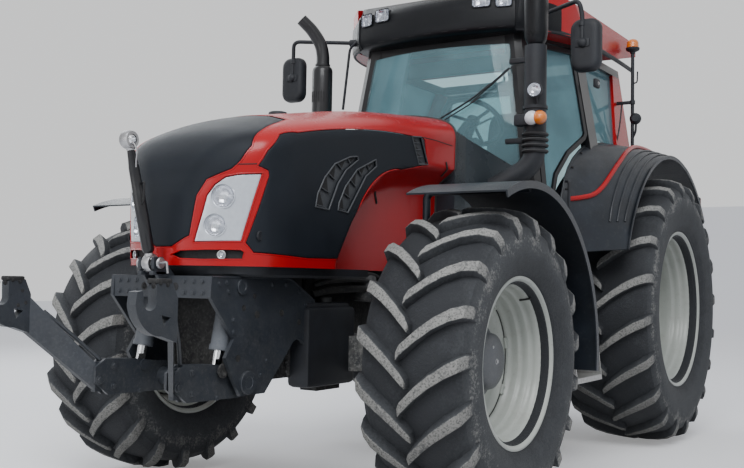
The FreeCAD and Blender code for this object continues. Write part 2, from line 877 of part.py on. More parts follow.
def cab_frame():
    """Front and middle pillars with the rails that join them."""
    top = cab_roof_low_z
    rail = 55.0
    rail_front = b_pillar_y + door_gap + 12
    side_rail = sheet_on(on_side, pillar_thickness, [
        (rail_front, top - rail), (cab_rear_y, top - rail), (cab_rear_y, top),
        (rail_front, top)])
    head = a_pillar_y(top)
    door_rail = sheet_on(on_door, pillar_thickness, [
        (head, top - 22), (b_pillar_y + b_pillar_depth, top - 22),
        (b_pillar_y + b_pillar_depth, top), (head, top)])
    half = fuse(a_pillar(), b_pillar(), side_rail, door_rail)
    front_x = door_x(head, top) - 60
    header = box((-front_x, front_x), (head - 10, head + 60), (top - 60, top))
    rear_x = side_x(top) - 30
    rear_header = box((-rear_x, rear_x), (cab_rear_y - 60, cab_rear_y), (top - 60, top))
    front_low = a_pillar_y(sill_z)
    low_x = door_x(front_low, sill_z) - 40
    low_bar = box((-low_x, low_x), (front_low, front_low + 50), (cab_floor_z, cab_floor_z + 420))
    return fuse(half, mirror(half), header, rear_header, low_bar)


def cab_floor():
    """Floor with the rear bulkhead up to the rear window."""
    low = cab_floor_z - cab_floor_thickness
    front = a_pillar_y(sill_z)
    x_front = door_x(front, cab_floor_z) - 10
    x_door = door_x(-1262, cab_floor_z) - 5
    x_rear = 690.0
    floor = prism("z", low, cab_floor_z, [
        (-x_front, front), (x_front, front), (x_door, -1262), (x_rear, -1150),
        (x_rear, cab_rear_y), (-x_rear, cab_rear_y), (-x_rear, -1150), (-x_door, -1262)])
    bulkhead = box((-x_rear, x_rear), (cab_rear_y - 40, cab_rear_y), (low, rear_window_low_z - 10))
    seat_box = box((-300, 300), (-560, cab_rear_y), (cab_floor_z, cab_floor_z + 180))
    return fuse(floor, bulkhead, seat_box)


def windscreen():
    """Curved front glass between the pillars, made from two bowed sections."""
    sections = []
    for z in (1705.0, cab_roof_low_z - 62):
        y = a_pillar_y(z) - 14
        x = door_x(y, z) - 62
        bow = 95.0
        t = glass_thickness
        sections.append(outline(lambda a, b: V(a, b, z), [
            (-x, y), ((0, y - bow), (x, y)), (x, y + t), ((0, y - bow + t), (-x, y + t))]))
    return Part.makeLoft(sections, True, True)


def quarter_glass():
    """Left fixed side window between the middle pillar and the corner post."""
    slab = sheet_on(lambda y, z: side_x(z) - 20, glass_thickness, [
        (b_pillar_y + b_pillar_depth, 1990), (-355, 1990), (-355, 2030),
        (-183, cab_roof_low_z - 55), (b_pillar_y + b_pillar_depth, cab_roof_low_z - 55)])
    return slab


rear_window_low_z = 1570.0


def rear_window():
    """Top-hinged rear window: a glazed frame between the corner posts."""
    low, top = rear_window_low_z, cab_roof_low_z - 66
    half_low, half_top = 470.0, side_x(top) - 72
    half_shoulder = side_x(rear_axle_z + rear_fender_radius) - 72
    y0, y1 = cab_rear_y - 34, cab_rear_y - 8
    shoulder_z = rear_axle_z + rear_fender_radius + 28

    def edge(w):
        right = [(half_low - w, low + w), (half_low - w, shoulder_z + w * 0.4),
                 (half_shoulder - w, shoulder_z + w), (half_top - w, top - w)]
        return right + [(-x, z) for x, z in reversed(right)]

    outer = prism("y", y0, y1, edge(0))
    hole_steps = edge(40)
    frame = cut(outer, prism("y", y0 - 5, y1 + 5, hole_steps))
    glass = prism("y", y0 + 10, y0 + 10 + glass_thickness, hole_steps)
    return frame, glass


roof_front_y = -1510.0
roof_rear_y = 170.0
roof_height = 375.0


def roof():
    """Roof shell: a plan outline crossed with a side profile, rounded above."""
    low = cab_roof_low_z
    plan = prism("z", low - 20, low + roof_height + 100, [
        (-560, roof_front_y + 60), ((0, roof_front_y - 20), (560, roof_front_y + 60)),
        (700, -1330), ((800, -1050), (805, -780)), (790, roof_rear_y - 120),
        ((760, roof_rear_y - 25), (640, roof_rear_y)), (-640, roof_rear_y),
        ((-760, roof_rear_y - 25), (-790, roof_rear_y - 120)), (-805, -780),
        ((-800, -1050), (-700, -1330))])
    profile = prism("x", -900, 900, [
        (roof_front_y - 50, low), (roof_front_y - 50, low + roof_height - 135),
        ((-900, low + roof_height), (roof_rear_y + 20, low + roof_height - 145)),
        (roof_rear_y + 20, low + 145), (-420, low)])
    side = prism("y", roof_front_y - 100, roof_rear_y + 60, [
        (-820, low), (820, low), (790, low + 210),
        ((0, low + roof_height + 65), (-790, low + 210))])
    return plan.common(profile).common(side)


def roof_parts():
    whole = roof()
    front = box((-620, 620), (roof_front_y - 100, roof_front_y + 330),
                (cab_roof_low_z - 50, cab_roof_low_z + roof_height + 150))
    return cut(whole, front), whole.common(front)


# Rear fenders

rear_fender_radius = 1025.0
rear_fender_thickness = 12.0
rear_fender_outer_x = 1085.0
rear_fender_front_angle = 159.0
rear_fender_rear_angle = 38.0


FENDER_FRONT = (
    (-1205.0, 1240.0), (-1290.0, 1475.0), (-1226.0, 1684.0), (-1096.0, 1819.0), (-876.0, 1933.0))
arch_wall_x = 505.0


def fender_front_edge(shift):
    """The front edge of the fender's panel in (y, z) as two arcs, moved forward."""
    (y0, z0), (y1, z1), (y2, z2), (y3, z3), (y4, z4) = FENDER_FRONT
    return [(y0 - shift, z0), ((y1 - shift, z1), (y2 - shift, z2)),
            ((y3 - shift, z3 + shift * 0.7), (y4 - shift * 0.6, z4 + shift))]


def rear_fender():
    """Left rear fender: the outer sheet, a raised inner step and the front panel."""
    centre = (0, rear_axle_z)
    r, t = rear_fender_radius, rear_fender_thickness
    outer = rear_fender_outer_x
    band = prism("x", arch_wall_x, outer, arc_band(
        centre, r, r + t, rear_fender_rear_angle, rear_fender_front_angle))
    lip = prism("x", outer - 14, outer + 8, arc_band(
        centre, r - 6, r + t + 16, rear_fender_rear_angle, rear_fender_front_angle))
    raised = prism("x", 790, 945, arc_band(centre, r + t, r + 75, 62, 147))
    raised = cut(raised, prism("x", 800, 935, arc_band(centre, r + t - 2, r + 63, 63, 146)))
    panel = prism("x", 770, 790, fender_front_edge(0) + [
        (-300, 2000), (200, 1985), (200, 1860), (-420, 1890), (-800, 1640), (-985, 1240)])
    panel_cut = prism("x", 700, 800, arc_band(centre, 300, r - 4, 0, 175))
    panel = cut(panel, panel_cut)
    front = prism("x", 790, 960, fender_front_edge(0)[:2] + [
        (-1215, 1690), ((-1277, 1475), (-1193, 1240))])
    middle = r + t / 2
    wall_front = polar(centre, middle, 161.5)
    top_angle = math.degrees(math.acos(cab_rear_y / middle))
    wall = prism("x", arch_wall_x, arch_wall_x + 10, [
        wall_front, (polar(centre, middle, 130), polar(centre, middle, top_angle)),
        (cab_rear_y, wall_front[1])])
    return fuse(band, lip, raised, cut(panel, band), front, wall)


def fender_moulding():
    """Red round moulding along the raised step of the left rear fender."""
    z = rear_axle_z
    points = [(955, -1190, 1560), (958, -1040, 1570), (960, -760, 1715),
              (962, -440, 1868), (985, -130, 1955), (1010, 40, z + rear_fender_radius + 30)]
    return bent_tube(points, 17, 60)


# Cab inside

seat_base_z = 1640.0
seat_back_low_z = 1690.0
seat_back_foot_y = -200.0
seat_back_lean = 0.175


def seat_back_rear_y(z):
    return seat_back_foot_y + (z - seat_back_low_z) * seat_back_lean


def seat_parts():
    """Seat pedestal with its upright, cushion and backrest."""
    upright_top = seat_back_low_z + 300
    upright = prism("x", -60, 60, [
        (-240, 1560), (-150, 1560), (-150, seat_back_low_z), (-118, upright_top),
        (seat_back_rear_y(upright_top) + seat_gap, upright_top),
        (seat_back_foot_y + seat_gap, seat_back_low_z - seat_gap),
        (-240, seat_back_low_z - seat_gap)])
    pedestal = fuse(box((-190, 190), (-620, -240), (1420, 1560)),
                    box((-130, 130), (-560, -300), (1560, seat_base_z)),
                    box((-60, 60), (-300, -240), (1500, 1600)), upright)
    low = seat_base_z + seat_gap
    cushion = prism("x", -250, 250, [
        (-740, 1668), ((-756, 1705), (-735, 1745)), (-330, 1725), (-290, 1700),
        (-290, low), (-560, low)])
    back_top = 2290
    back = prism("x", -235, 235, [
        (-285, seat_back_low_z), (seat_back_foot_y, seat_back_low_z),
        (seat_back_rear_y(back_top), back_top), ((-115, 2330), (-150, 2310)), (-300, 1760)])
    return pedestal, cushion, back


steering_wheel_centre = (0.0, -920.0, 2130.0)
steering_wheel_radius = 205.0
steering_wheel_tilt = 38.0
steering_boss_radius = 45.0


def steering_axis():
    turn = math.radians(steering_wheel_tilt)
    return V(0, math.sin(turn), math.cos(turn))


def steering_column():
    """Column tube below the wheel and its boot on the floor."""
    axis = steering_axis()
    top = V(*steering_wheel_centre) - axis * 14
    return fuse(
        Part.makeCylinder(36, 330, top - axis * 330, axis),
        prism("x", -80, 80, [(-1400, cab_floor_z), (-1190, cab_floor_z), (-1100, 1720),
                             (-1070, 1880), (-1180, 1900), (-1400, 1640)]))


def steering_wheel():
    axis = steering_axis()
    centre = V(*steering_wheel_centre)
    across = V(1, 0, 0)
    along = axis.cross(across)
    parts = [Part.makeTorus(steering_wheel_radius, 17, centre, axis),
             Part.makeCylinder(steering_boss_radius, 34, centre - axis * 8, axis)]
    for angle in (90, 210, 330):
        turn = math.radians(angle)
        direction = across * math.cos(turn) + along * math.sin(turn)
        parts.append(Part.makeCylinder(11, steering_wheel_radius, centre + axis * 4, direction))
    return fuse(*parts)


def dashboard():
    """Instrument hood in front of the wheel."""
    return prism("x", -170, 170, [(-1400, 1560), (-1200, 1760), (-1120, 1900), (-1130, 1970),
                                  (-1200, 1980), (-1400, 1800)])


def side_console():
    """Console on the driver's right with the armrest."""
    return fuse(box((-560, -330), (-800, -150), (cab_floor_z, 1640)),
                box((-340, -262), (-700, -330), (1640, 1760)),
                box((-400, -330), (-560, -420), (1600, 1700)))


# Exhaust, intake and what stands outside the cab

exhaust_x = -700.0
exhaust_y = -1680.0
exhaust_radius = 66.0


def exhaust():
    """Shielded stack at the right pillar with a curved tip."""
    x, y = exhaust_x, exhaust_y
    shield = rod((x, y, 1700), (x, y, 2430), exhaust_radius)
    foot = bent_tube([(-400, -1790, 1480), (-560, -1770, 1490), (x, y, 1580), (x, y, 1760)],
                     45, 60)
    tip = bent_tube([(x, y, 2420), (x, y, 2560), (x - 100, y - 110, 2740)], 44, 110)
    return fuse(shield, foot, tip)


duct_x = 790.0
duct_y = -1700.0
duct_radius = 68.0


def intake_duct():
    """Air intake at the left pillar: a tall duct, its elbow goes under the cowl."""
    x, y = duct_x, duct_y
    body = rod((x, y, 1850), (x, y, 2395), duct_radius)
    cap = prism("y", y - duct_radius, y + 40, [
        (x - 64, 2395), (x + 64, 2395), (x + 64, 2700), ((x, 2762), (x - 64, 2700))])
    elbow = bent_tube([(x, y, 1860), (x - 10, y, 1730), (x - 200, y - 60, 1600)],
                      duct_radius - 8, 90)
    rings = [rod((x, y, z), (x, y, z + 22), duct_radius + 11) for z in (1795, 1830, 1865)]
    stay = box((620, x), (y - 20, y + 20), (2300, 2340))
    stay_low = box((600, x), (y - 20, y + 20), (1840, 1880))
    return fuse(body, cap, elbow, *rings, stay, stay_low)


mirror_x = 1029.0
mirror_y = -1552.0
mirror_z = cab_roof_low_z - 170.0


def mirror_assembly():
    """Left mirror on its bent arm."""
    head = box((mirror_x - 88, mirror_x + 88), (mirror_y - 35, mirror_y + 30),
               (mirror_z - 150, mirror_z + 150))
    arm = bent_tube([(640, -1400, cab_roof_low_z + 70),
                     (mirror_x - 20, mirror_y - 48, cab_roof_low_z + 80),
                     (mirror_x - 10, mirror_y, mirror_z)], 14, 40)
    return fuse(head, arm)


def lamp_post():
    """Beacon pole behind the left corner post with its stay."""
    x, y = 862.0, -200.0
    low = rear_axle_z + rear_fender_radius + 53
    top = cab_roof_low_z + 110
    pole = rod((x, y, low), (x, y, top), 13)
    stay_z = low + (top - low) * 0.444
    stay = box((side_x(stay_z) - 12, x), (y - 14, y + 14), (stay_z, stay_z + 20))
    foot = box((x - 40, x + 40), (y - 40, y + 40), (low, low + 17))
    dome = rod((x, y, top - 5), (x, y, top + 10), 46)
    glass = rod((x, y, top + 10), (x, y, top + 100), 40)
    return fuse(pole, stay, foot, dome, glass)


# Roof lamps: distance from the middle, height over the roof rails
ROOF_LAMPS = ((353.0, 190.0), (489.0, 182.0))
work_lamp_z = 2100.0
marker_lamp_z = 1965.0


def lamps():
    """Roof lamps, the duct's work lamp and marker, and the rear clusters."""
    pieces = []
    for x, over in ROOF_LAMPS:
        z = cab_roof_low_z + over
        lamp = box((x - 55, x + 55), (roof_front_y - 22, roof_front_y + 60), (z - 38, z + 38))
        pieces += [lamp, mirror(lamp)]
    y, z = polar((0, rear_axle_z), rear_fender_radius + 40, rear_fender_rear_angle + 6)
    cluster = box((930, 1070), (y, y + 60), (z - 10, z + 90))
    work_y = duct_y - duct_radius
    work = rod((duct_x, work_y + 20, work_lamp_z), (duct_x, work_y - 70, work_lamp_z), 48)
    z = marker_lamp_z
    marker = fuse(box((duct_x - 90, duct_x + 70), (work_y - 30, work_y + 20), (z - 60, z - 40)),
                  rod((duct_x - 50, work_y - 60, z), (duct_x - 50, work_y + 10, z), 42),
                  rod((duct_x + 40, work_y - 60, z), (duct_x + 40, work_y + 10, z), 42))
    pieces += [cluster, mirror(cluster), work, marker]
    return pieces


# Front linkage

plate_outer_x = 290.0
plate_thickness = 18.0
arm_pivot_y = front_axle_y - 812.0
arm_pivot_z = 615.0
arm_pivot_radius = 40.0
arm_inner_x = 196.0
arm_outer_x = 250.0
arm_cheek = 14.0
arm_middle_x = (arm_inner_x + arm_outer_x) / 2
hook_x = 413.0
hook_width = 44.0
hook_y = front_axle_y - 1527.0
hook_z = 965.0
hook_seat_radius = 32.0
rod_eye_y = arm_pivot_y - 120.0
rod_eye_z = arm_pivot_z + 55.0
rod_eye_radius = 30.0
cylinder_top_y = arm_pivot_y - 45.0
cylinder_top_z = arm_pivot_z + 405.0
barrel_radius = 40.0
barrel_length = 275.0
rod_radius = 22.0
rod_reach = 275.0
cylinder_pin_radius = 18.0
rod_mm_per_degree = 2.19
barrel_turn_ratio = 0.03
member_front_y = front_axle_y - 1045.0
member_rear_y = front_axle_y - 960.0
member_low_z = 970.0
member_top_z = 1062.0
gusset_y = (front_axle_y - 700.0, front_axle_y - 640.0)


def linkage_frame():
    """Two side plates with the cross member, cylinder lugs and top link lugs."""
    x0, x1 = plate_outer_x - plate_thickness, plate_outer_x
    y = front_axle_y
    low = arm_pivot_z - 55
    plate = prism("x", x0, x1, [
        (member_front_y, member_top_z), (member_front_y - 5, member_low_z + 5),
        (y - 900, 800), (y - 950, 725), (y - 905, 640), (y - 850, low), (y - 690, low),
        (y - 500, 765), ((y - 440, 780), (y - 400, 730)), (y - 400, low), (y - 330, low),
        (y - 330, 960), (y - 520, member_top_z)])
    gusset = box((support_half_width, x0), gusset_y, (640, cylinder_top_z + 20))
    lug_x = (support_half_width, arm_middle_x - 19)
    lug = box(lug_x, (cylinder_top_y - 35, gusset_y[1]),
              (cylinder_top_z - 14, cylinder_top_z + 35))
    pin = rod((lug_x[0], cylinder_top_y, cylinder_top_z), (x1, cylinder_top_y, cylinder_top_z),
              cylinder_pin_radius)
    half = fuse(plate, gusset, lug, pin)
    member = box((-x1, x1), (member_front_y, member_rear_y), (member_low_z, member_top_z))
    link_lug = prism("x", top_lug_inner_x, top_lug_inner_x + 16, [
        (member_front_y + 40, member_top_z), (member_front_y, member_low_z + 10),
        (top_pivot_y - 26, top_pivot_z - 20), (top_pivot_y - 26, top_pivot_z + 24),
        (top_pivot_y + 24, top_pivot_z + 26)])
    link_pin = rod((-top_lug_inner_x - 22, top_pivot_y, top_pivot_z),
                   (top_lug_inner_x + 22, top_pivot_y, top_pivot_z), top_pin_radius)
    frame = fuse(half, mirror(half), member, link_lug, mirror(link_lug), link_pin)
    bore = rod((-400, arm_pivot_y, arm_pivot_z), (400, arm_pivot_y, arm_pivot_z),
               arm_pivot_radius + running_clearance)
    return cut(frame, bore)


def lift_arms():
    """Both arms on their cross shaft; each is a pair of cheeks round the link's foot."""
    y, z = arm_pivot_y, arm_pivot_z
    steps = [
        (y + 62, z - 20), ((y + 44, z - 48), (y, z - 66)), (y - 320, z - 60),
        (y - 392, z - 5), (y - 392, z + 60), (y - 340, z + 92), (y - 170, z + 84),
        (y - 20, z + 66), ((y + 46, z + 46), (y + 66, z))]
    cheeks = [prism("x", arm_inner_x, arm_inner_x + arm_cheek, steps),
              prism("x", arm_outer_x - arm_cheek, arm_outer_x, steps)]
    boss = rod((arm_inner_x, y, z), (arm_outer_x, y, z), 58)
    caps = [rod((arm_inner_x - 8, rod_eye_y, rod_eye_z), (arm_inner_x + 2, rod_eye_y, rod_eye_z), 24),
            rod((arm_outer_x - 2, rod_eye_y, rod_eye_z), (arm_outer_x + 8, rod_eye_y, rod_eye_z), 24)]
    half = fuse(*cheeks, boss, *caps)
    shaft = rod((-plate_outer_x - 8, y, z), (plate_outer_x + 8, y, z), arm_pivot_radius)
    return fuse(half, mirror(half), shaft)


def hook_link():
    """Left hook link: a foot between the cheeks, a splayed blade and its open hook."""
    y, z = hook_y, hook_z
    x0, x1 = arm_inner_x + arm_cheek, arm_outer_x - arm_cheek
    foot_y = arm_pivot_y - 380
    foot = box((x0, x1), (foot_y, arm_pivot_y - 270),
               (arm_pivot_z - 45, arm_pivot_z + 80))
    hx0, hx1 = hook_x - hook_width / 2, hook_x + hook_width / 2
    blade_y = y + 128
    near = Part.makePolygon([V(x0, foot_y, 580), V(x1, foot_y, 580), V(x1, foot_y, 690),
                             V(x0, foot_y, 690), V(x0, foot_y, 580)])
    far = Part.makePolygon([V(hx0 + 8, blade_y, 820), V(hx1 - 8, blade_y, 820),
                            V(hx1 - 8, blade_y, 975), V(hx0 + 8, blade_y, 975),
                            V(hx0 + 8, blade_y, 820)])
    blade = Part.makeLoft([near, far], True, True)
    r = hook_seat_radius
    hook = prism("x", hx0, hx1, [
        (y - 64, z + 36), (y - 36, z + 40), (y - r, z), ((y, z - r), (y + r, z)),
        (y + 30, z + 62), (y + 55, z + 84), (y + 112, z + 70), (y + 140, z + 10),
        (y + 140, z - 150), (y + 60, z - 125), ((y - 40, z - 78), (y - 70, z - 10))])
    hole = prism("x", hx0 - 5, hx1 + 5, [(y + 58, z - 48), (y + 104, z - 58), (y + 70, z - 90)])
    return fuse(foot, blade, cut(hook, hole))


def cylinder_axis():
    """Unit vector from the cylinder's upper pin to its rod's eye."""
    reach = V(0, rod_eye_y - cylinder_top_y, rod_eye_z - cylinder_top_z)
    return reach.normalize()


def lift_cylinder():
    """Left lift cylinder: the barrel on its upper pin, and the rod that slides in it."""
    x = arm_middle_x
    top = V(x, cylinder_top_y, cylinder_top_z)
    eye = V(x, rod_eye_y, rod_eye_z)
    axis = cylinder_axis()
    gap_x = arm_middle_x - 18
    eye_plate = rod((gap_x, top.y, top.z), (x + 18, top.y, top.z), 32)
    body = Part.makeCylinder(barrel_radius, barrel_length - 29, top + axis * 29, axis)
    collar = Part.makeCylinder(barrel_radius + 4, 22, top + axis * (barrel_length - 22), axis)
    pin_bore = rod((gap_x - 5, top.y, top.z), (x + 25, top.y, top.z),
                   cylinder_pin_radius + running_clearance)
    rod_bore = Part.makeCylinder(rod_radius + running_clearance, barrel_length,
                                 top + axis * 62, axis)
    barrel = cut(fuse(eye_plate, body, collar), pin_bore, rod_bore)
    bar = Part.makeCylinder(rod_radius, rod_reach, eye - axis * rod_reach, axis)
    width = arm_outer_x - arm_inner_x - 2 * arm_cheek - 12
    knuckle_end = rod((x - width / 2, eye.y, eye.z), (x + width / 2, eye.y, eye.z),
                      rod_eye_radius)
    slim = box((x - width / 2, x + width / 2), (eye.y - 60, eye.y + 60),
               (eye.z - 60, eye.z + 48))
    low_bar = bar.common(slim)
    high_bar = cut(bar, box((x - 60, x + 60), (eye.y - 80, eye.y + 80),
                            (eye.z - 80, eye.z + 48)))
    return barrel, fuse(knuckle_end, low_bar, high_bar)


top_pivot_y = front_axle_y - 1102.0
top_pivot_z = 1112.0
top_pin_radius = 12.7
top_lug_inner_x = 30.0
top_link_length = 518.0
top_link_lean = 15.6
ball_bore_radius = 12.8
ball_width = 51.0


def link_bar(pivot, direction, length, eye_width, tube, ball_radius):
    """A top link: bored eye at its pivot, a tube and a bored ball end."""
    centre = V(*pivot)
    end = centre + direction * length
    x = V(1, 0, 0)
    eye = Part.makeCylinder(27, eye_width, centre - x * (eye_width / 2), x)
    bar = Part.makeCylinder(tube, length - 58, centre + direction * 24, direction)
    ball = Part.makeCylinder(ball_radius, ball_width * 0.7, end - x * (ball_width * 0.35), x)
    core = Part.makeCylinder(ball_radius * 0.62, ball_width, end - x * (ball_width / 2), x)
    neck = Part.makeCylinder(tube * 0.6, 60, end - direction * 70, direction)
    shape = fuse(eye, bar, ball, core, neck)
    pin_hole = Part.makeCylinder(top_pin_radius + running_clearance, eye_width + 4,
                                 centre - x * (eye_width / 2 + 2), x)
    ball_hole = Part.makeCylinder(ball_bore_radius, ball_width + 4,
                                  end - x * (ball_width / 2 + 2), x)
    return cut(shape, pin_hole, ball_hole)


def lean_direction(degrees, forward):
    turn = math.radians(degrees)
    return V(0, -forward * math.sin(turn), math.cos(turn))


def front_top_link():
    return link_bar((0, top_pivot_y, top_pivot_z), lean_direction(top_link_lean, 1),
                    top_link_length, 2 * (top_lug_inner_x - 3), 22, 36)


# Rear linkage

rear_face_y = axle_house_half_depth
link_pin_y = 150.0
link_pin_z = 660.0
link_pin_radius = 18.0
link_eye_x = (axle_house_half_width + 6, axle_house_half_width + 44)
link_ball_x = 412.5
link_ball_y = 1050.0
link_ball_z = 640.0
link_ball_radius = 42.0
link_ball_bore_radius = 14.4
link_ball_width = 45.0
link_height = 84.0
rocker_y = 330.0
rocker_z = 1240.0
rocker_radius = 35.0
rocker_arm_x = (214.0, 246.0)
arm_pin_y = 610.0
arm_pin_z = 1275.0
arm_pin_radius = 14.0
lift_rod_low_y = 600.0
lift_rod_pin_radius = 12.0
slot_half_height = 36.0
slot_half_length = 48.0
fork_inner = 24.0
fork_outer = 36.0


def link_centre(y):
    """Centre (x, z) of the left lower link at a distance behind the axle."""
    start_x = (link_eye_x[0] + link_eye_x[1]) / 2
    share = (y - link_pin_y) / (link_ball_y - link_pin_y)
    return (start_x + (link_ball_x - start_x) * share,
            link_pin_z + (link_ball_z - link_pin_z) * share)


def lower_link():
    """Left rear lower link with its front eye, float slot and ball end."""
    x0, x1 = link_eye_x
    eye = rod((x0, link_pin_y, link_pin_z), (x1, link_pin_y, link_pin_z), 46)
    sections = []
    for y in (link_pin_y + 20, link_ball_y - 30):
        x, z = link_centre(y)
        h = link_height / 2
        w = 11.0
        sections.append(Part.makePolygon([V(x - w, y, z - h), V(x + w, y, z - h),
                                          V(x + w, y, z + h), V(x - w, y, z + h),
                                          V(x - w, y, z - h)]))
    blade = Part.makeLoft(sections, True, True)
    half = link_ball_width / 2
    ball = rod((link_ball_x - half, link_ball_y, link_ball_z),
               (link_ball_x + half, link_ball_y, link_ball_z), link_ball_radius)
    shape = fuse(eye, blade, ball)
    front_bore = rod((x0 - 2, link_pin_y, link_pin_z), (x1 + 2, link_pin_y, link_pin_z),
                     link_pin_radius + running_clearance)
    ball_bore = rod((link_ball_x - half - 2, link_ball_y, link_ball_z),
                    (link_ball_x + half + 2, link_ball_y, link_ball_z), link_ball_bore_radius)
    x, z = link_centre(lift_rod_low_y)
    slot = box((x - 60, x + 60),
               (lift_rod_low_y - slot_half_length, lift_rod_low_y + slot_half_length),
               (z - slot_half_height, z + slot_half_height))
    return cut(shape, front_bore, ball_bore, slot)


def rocker_arms():
    """Both lift arms on their rocker shaft, with the pins for the lift rods."""
    x0, x1 = rocker_arm_x
    y, z = rocker_y, rocker_z
    arm = prism("x", x0, x1, [
        (y - 52, z), ((y - 20, z - 50), (y + 40, z - 46)), (arm_pin_y - 10, arm_pin_z - 30),
        ((arm_pin_y + 30, arm_pin_z), (arm_pin_y - 10, arm_pin_z + 30)), (y + 40, z + 52),
        ((y - 20, z + 50), (y - 52, z))])
    pin = rod((x1 - 10, arm_pin_y, arm_pin_z), (x1 + 44, arm_pin_y, arm_pin_z), arm_pin_radius)
    half = fuse(arm, pin)
    shaft = rod((-x1, y, z), (x1, y, z), rocker_radius)
    return fuse(half, mirror(half), shaft)


def lift_rod():
    """Left lift rod: an eye on the arm's pin, a turnbuckle and a fork at the link."""
    top_x = (rocker_arm_x[1] + 6, rocker_arm_x[1] + 38)
    low_x, low_z = link_centre(lift_rod_low_y)
    eye = rod((top_x[0], arm_pin_y, arm_pin_z), (top_x[1], arm_pin_y, arm_pin_z), 32)
    middle_x = (top_x[0] + top_x[1]) / 2
    fork_top = V(low_x, lift_rod_low_y, low_z + link_height / 2 + 62)
    bar = rod((middle_x, arm_pin_y, arm_pin_z), tuple(fork_top), 17)
    sleeve_low = V(middle_x, arm_pin_y, arm_pin_z) * 0.35 + fork_top * 0.65
    sleeve_high = V(middle_x, arm_pin_y, arm_pin_z) * 0.65 + fork_top * 0.35
    sleeve = rod(tuple(sleeve_low), tuple(sleeve_high), 26)
    span_y = (lift_rod_low_y - 26, lift_rod_low_y + 26)
    bridge = box((low_x - fork_outer, low_x + fork_outer), span_y,
                 (fork_top.z - 22, fork_top.z + 8))
    cheeks = [box((low_x - fork_outer, low_x - fork_inner), span_y, (low_z - 28, fork_top.z)),
              box((low_x + fork_inner, low_x + fork_outer), span_y, (low_z - 28, fork_top.z))]
    pin = rod((low_x - fork_outer - 4, lift_rod_low_y, low_z),
              (low_x + fork_outer + 4, lift_rod_low_y, low_z), lift_rod_pin_radius)
    shape = fuse(eye, bar, sleeve, bridge, *cheeks, pin)
    bore = rod((top_x[0] - 2, arm_pin_y, arm_pin_z), (top_x[1] + 12, arm_pin_y, arm_pin_z),
               arm_pin_radius + running_clearance)
    return cut(shape, bore)


pto_z = 700.0
pto_radius = 17.5
pto_length = 76.0
pto_shoulder = 12.0
pto_journal_radius = 26.0
pto_depth = 90.0
drawbar_z = (430.0, 468.0)
drawbar_end_y = 640.0
drawbar_hole_y = 600.0
drawbar_hole_radius = 16.5
rear_top_pivot_y = 400.0
rear_top_pivot_z = 1010.0
rear_top_length = 560.0
rear_top_lean = -42.0


def hitch_frame():
    """Lift housing, top link lugs, link pins and drawbar frame behind the axle housing."""
    y = rear_face_y
    house = prism("x", -190, 190, [
        (y, 980), (y, gearbox_top_z + 60), (60, gearbox_top_z + 60), (60, 1300),
        (rocker_y + 20, 1300), (rocker_y + 60, 1240), (rocker_y + 40, 1120), (y + 30, 980)])
    x0 = top_lug_inner_x
    lug = prism("x", x0, x0 + 14, [
        (y + 20, 1060), (y + 20, 985), (rear_top_pivot_y, rear_top_pivot_z - 30),
        ((rear_top_pivot_y + 28, rear_top_pivot_z), (rear_top_pivot_y, rear_top_pivot_z + 30))])
    pin = rod((-x0 - 20, rear_top_pivot_y, rear_top_pivot_z),
              (x0 + 20, rear_top_pivot_y, rear_top_pivot_z), top_pin_radius)
    block = fuse(house, lug, mirror(lug), pin)
    bore = rod((-300, rocker_y, rocker_z), (300, rocker_y, rocker_z),
               rocker_radius + running_clearance)
    return cut(block, bore)


def drawbar_frame():
    """Ladder plates under the housing, the drawbar between them and the link pins."""
    low = drawbar_z[0] - 26
    cheek = prism("x", 92, 112, [
        (y_low, z_low) for y_low, z_low in ((90, gearbox_low_z - 40), (90, low + 60),
                                            (140, low), (330, low), (330, 560),
                                            (rear_face_y, gearbox_low_z - 40))])
    rail = box((-92, 92), (150, 320), (low, drawbar_z[0]))
    rail_top = box((-92, 92), (150, 320), (drawbar_z[1], drawbar_z[1] + 26))
    bar = box((-38, 38), (-180, drawbar_end_y), drawbar_z)
    tongue_hole = rod((0, drawbar_hole_y, drawbar_z[0] - 5), (0, drawbar_hole_y, drawbar_z[1] + 5),
                      drawbar_hole_radius)
    stem = box((-60, 60), (-200, -140), (drawbar_z[1], gearbox_low_z - 30))
    frame = fuse(cheek, mirror(cheek), rail, rail_top, cut(bar, tongue_hole), stem)
    return cut(frame, transmission())


def link_pins():
    """Pins of the lower links on the axle housing, with their retaining heads."""
    x = axle_house_half_width
    pin = rod((x, link_pin_y, link_pin_z), (link_eye_x[1] + 12, link_pin_y, link_pin_z),
              link_pin_radius)
    head = rod((link_eye_x[1] + 4, link_pin_y, link_pin_z),
               (link_eye_x[1] + 14, link_pin_y, link_pin_z), 30)
    return both(fuse(pin, head))


def pto_shaft():
    """Power take-off shaft: its journal in the housing and the bare stub behind it."""
    start = rear_face_y + pto_shoulder
    return fuse(rod((0, rear_face_y - pto_depth, pto_z), (0, start, pto_z), pto_journal_radius),
                rod((0, start, pto_z), (0, start + pto_length, pto_z), pto_radius))


def pto_guard():
    """Sheet hood over the shaft's end."""
    y = rear_face_y
    return prism("y", y, y + 95, [
        (-130, pto_z - 60), (-130, pto_z + 70), ((0, pto_z + 130), (130, pto_z + 70)),
        (130, pto_z - 60), (122, pto_z - 60), (122, pto_z + 66),
        ((0, pto_z + 122), (-122, pto_z + 66)), (-122, pto_z - 60)])


def rear_top_link():
    return link_bar((0, rear_top_pivot_y, rear_top_pivot_z), lean_direction(rear_top_lean, 1),
                    rear_top_length, 2 * (top_lug_inner_x - 3), 22, 36)


# The assembly: node name to shape, and the bodies that move together

NODES = {}
BODIES = {"chassis": []}


def add(name, shape, body="chassis"):
    NODES[name] = shape
    BODIES.setdefault(body, []).append(name)


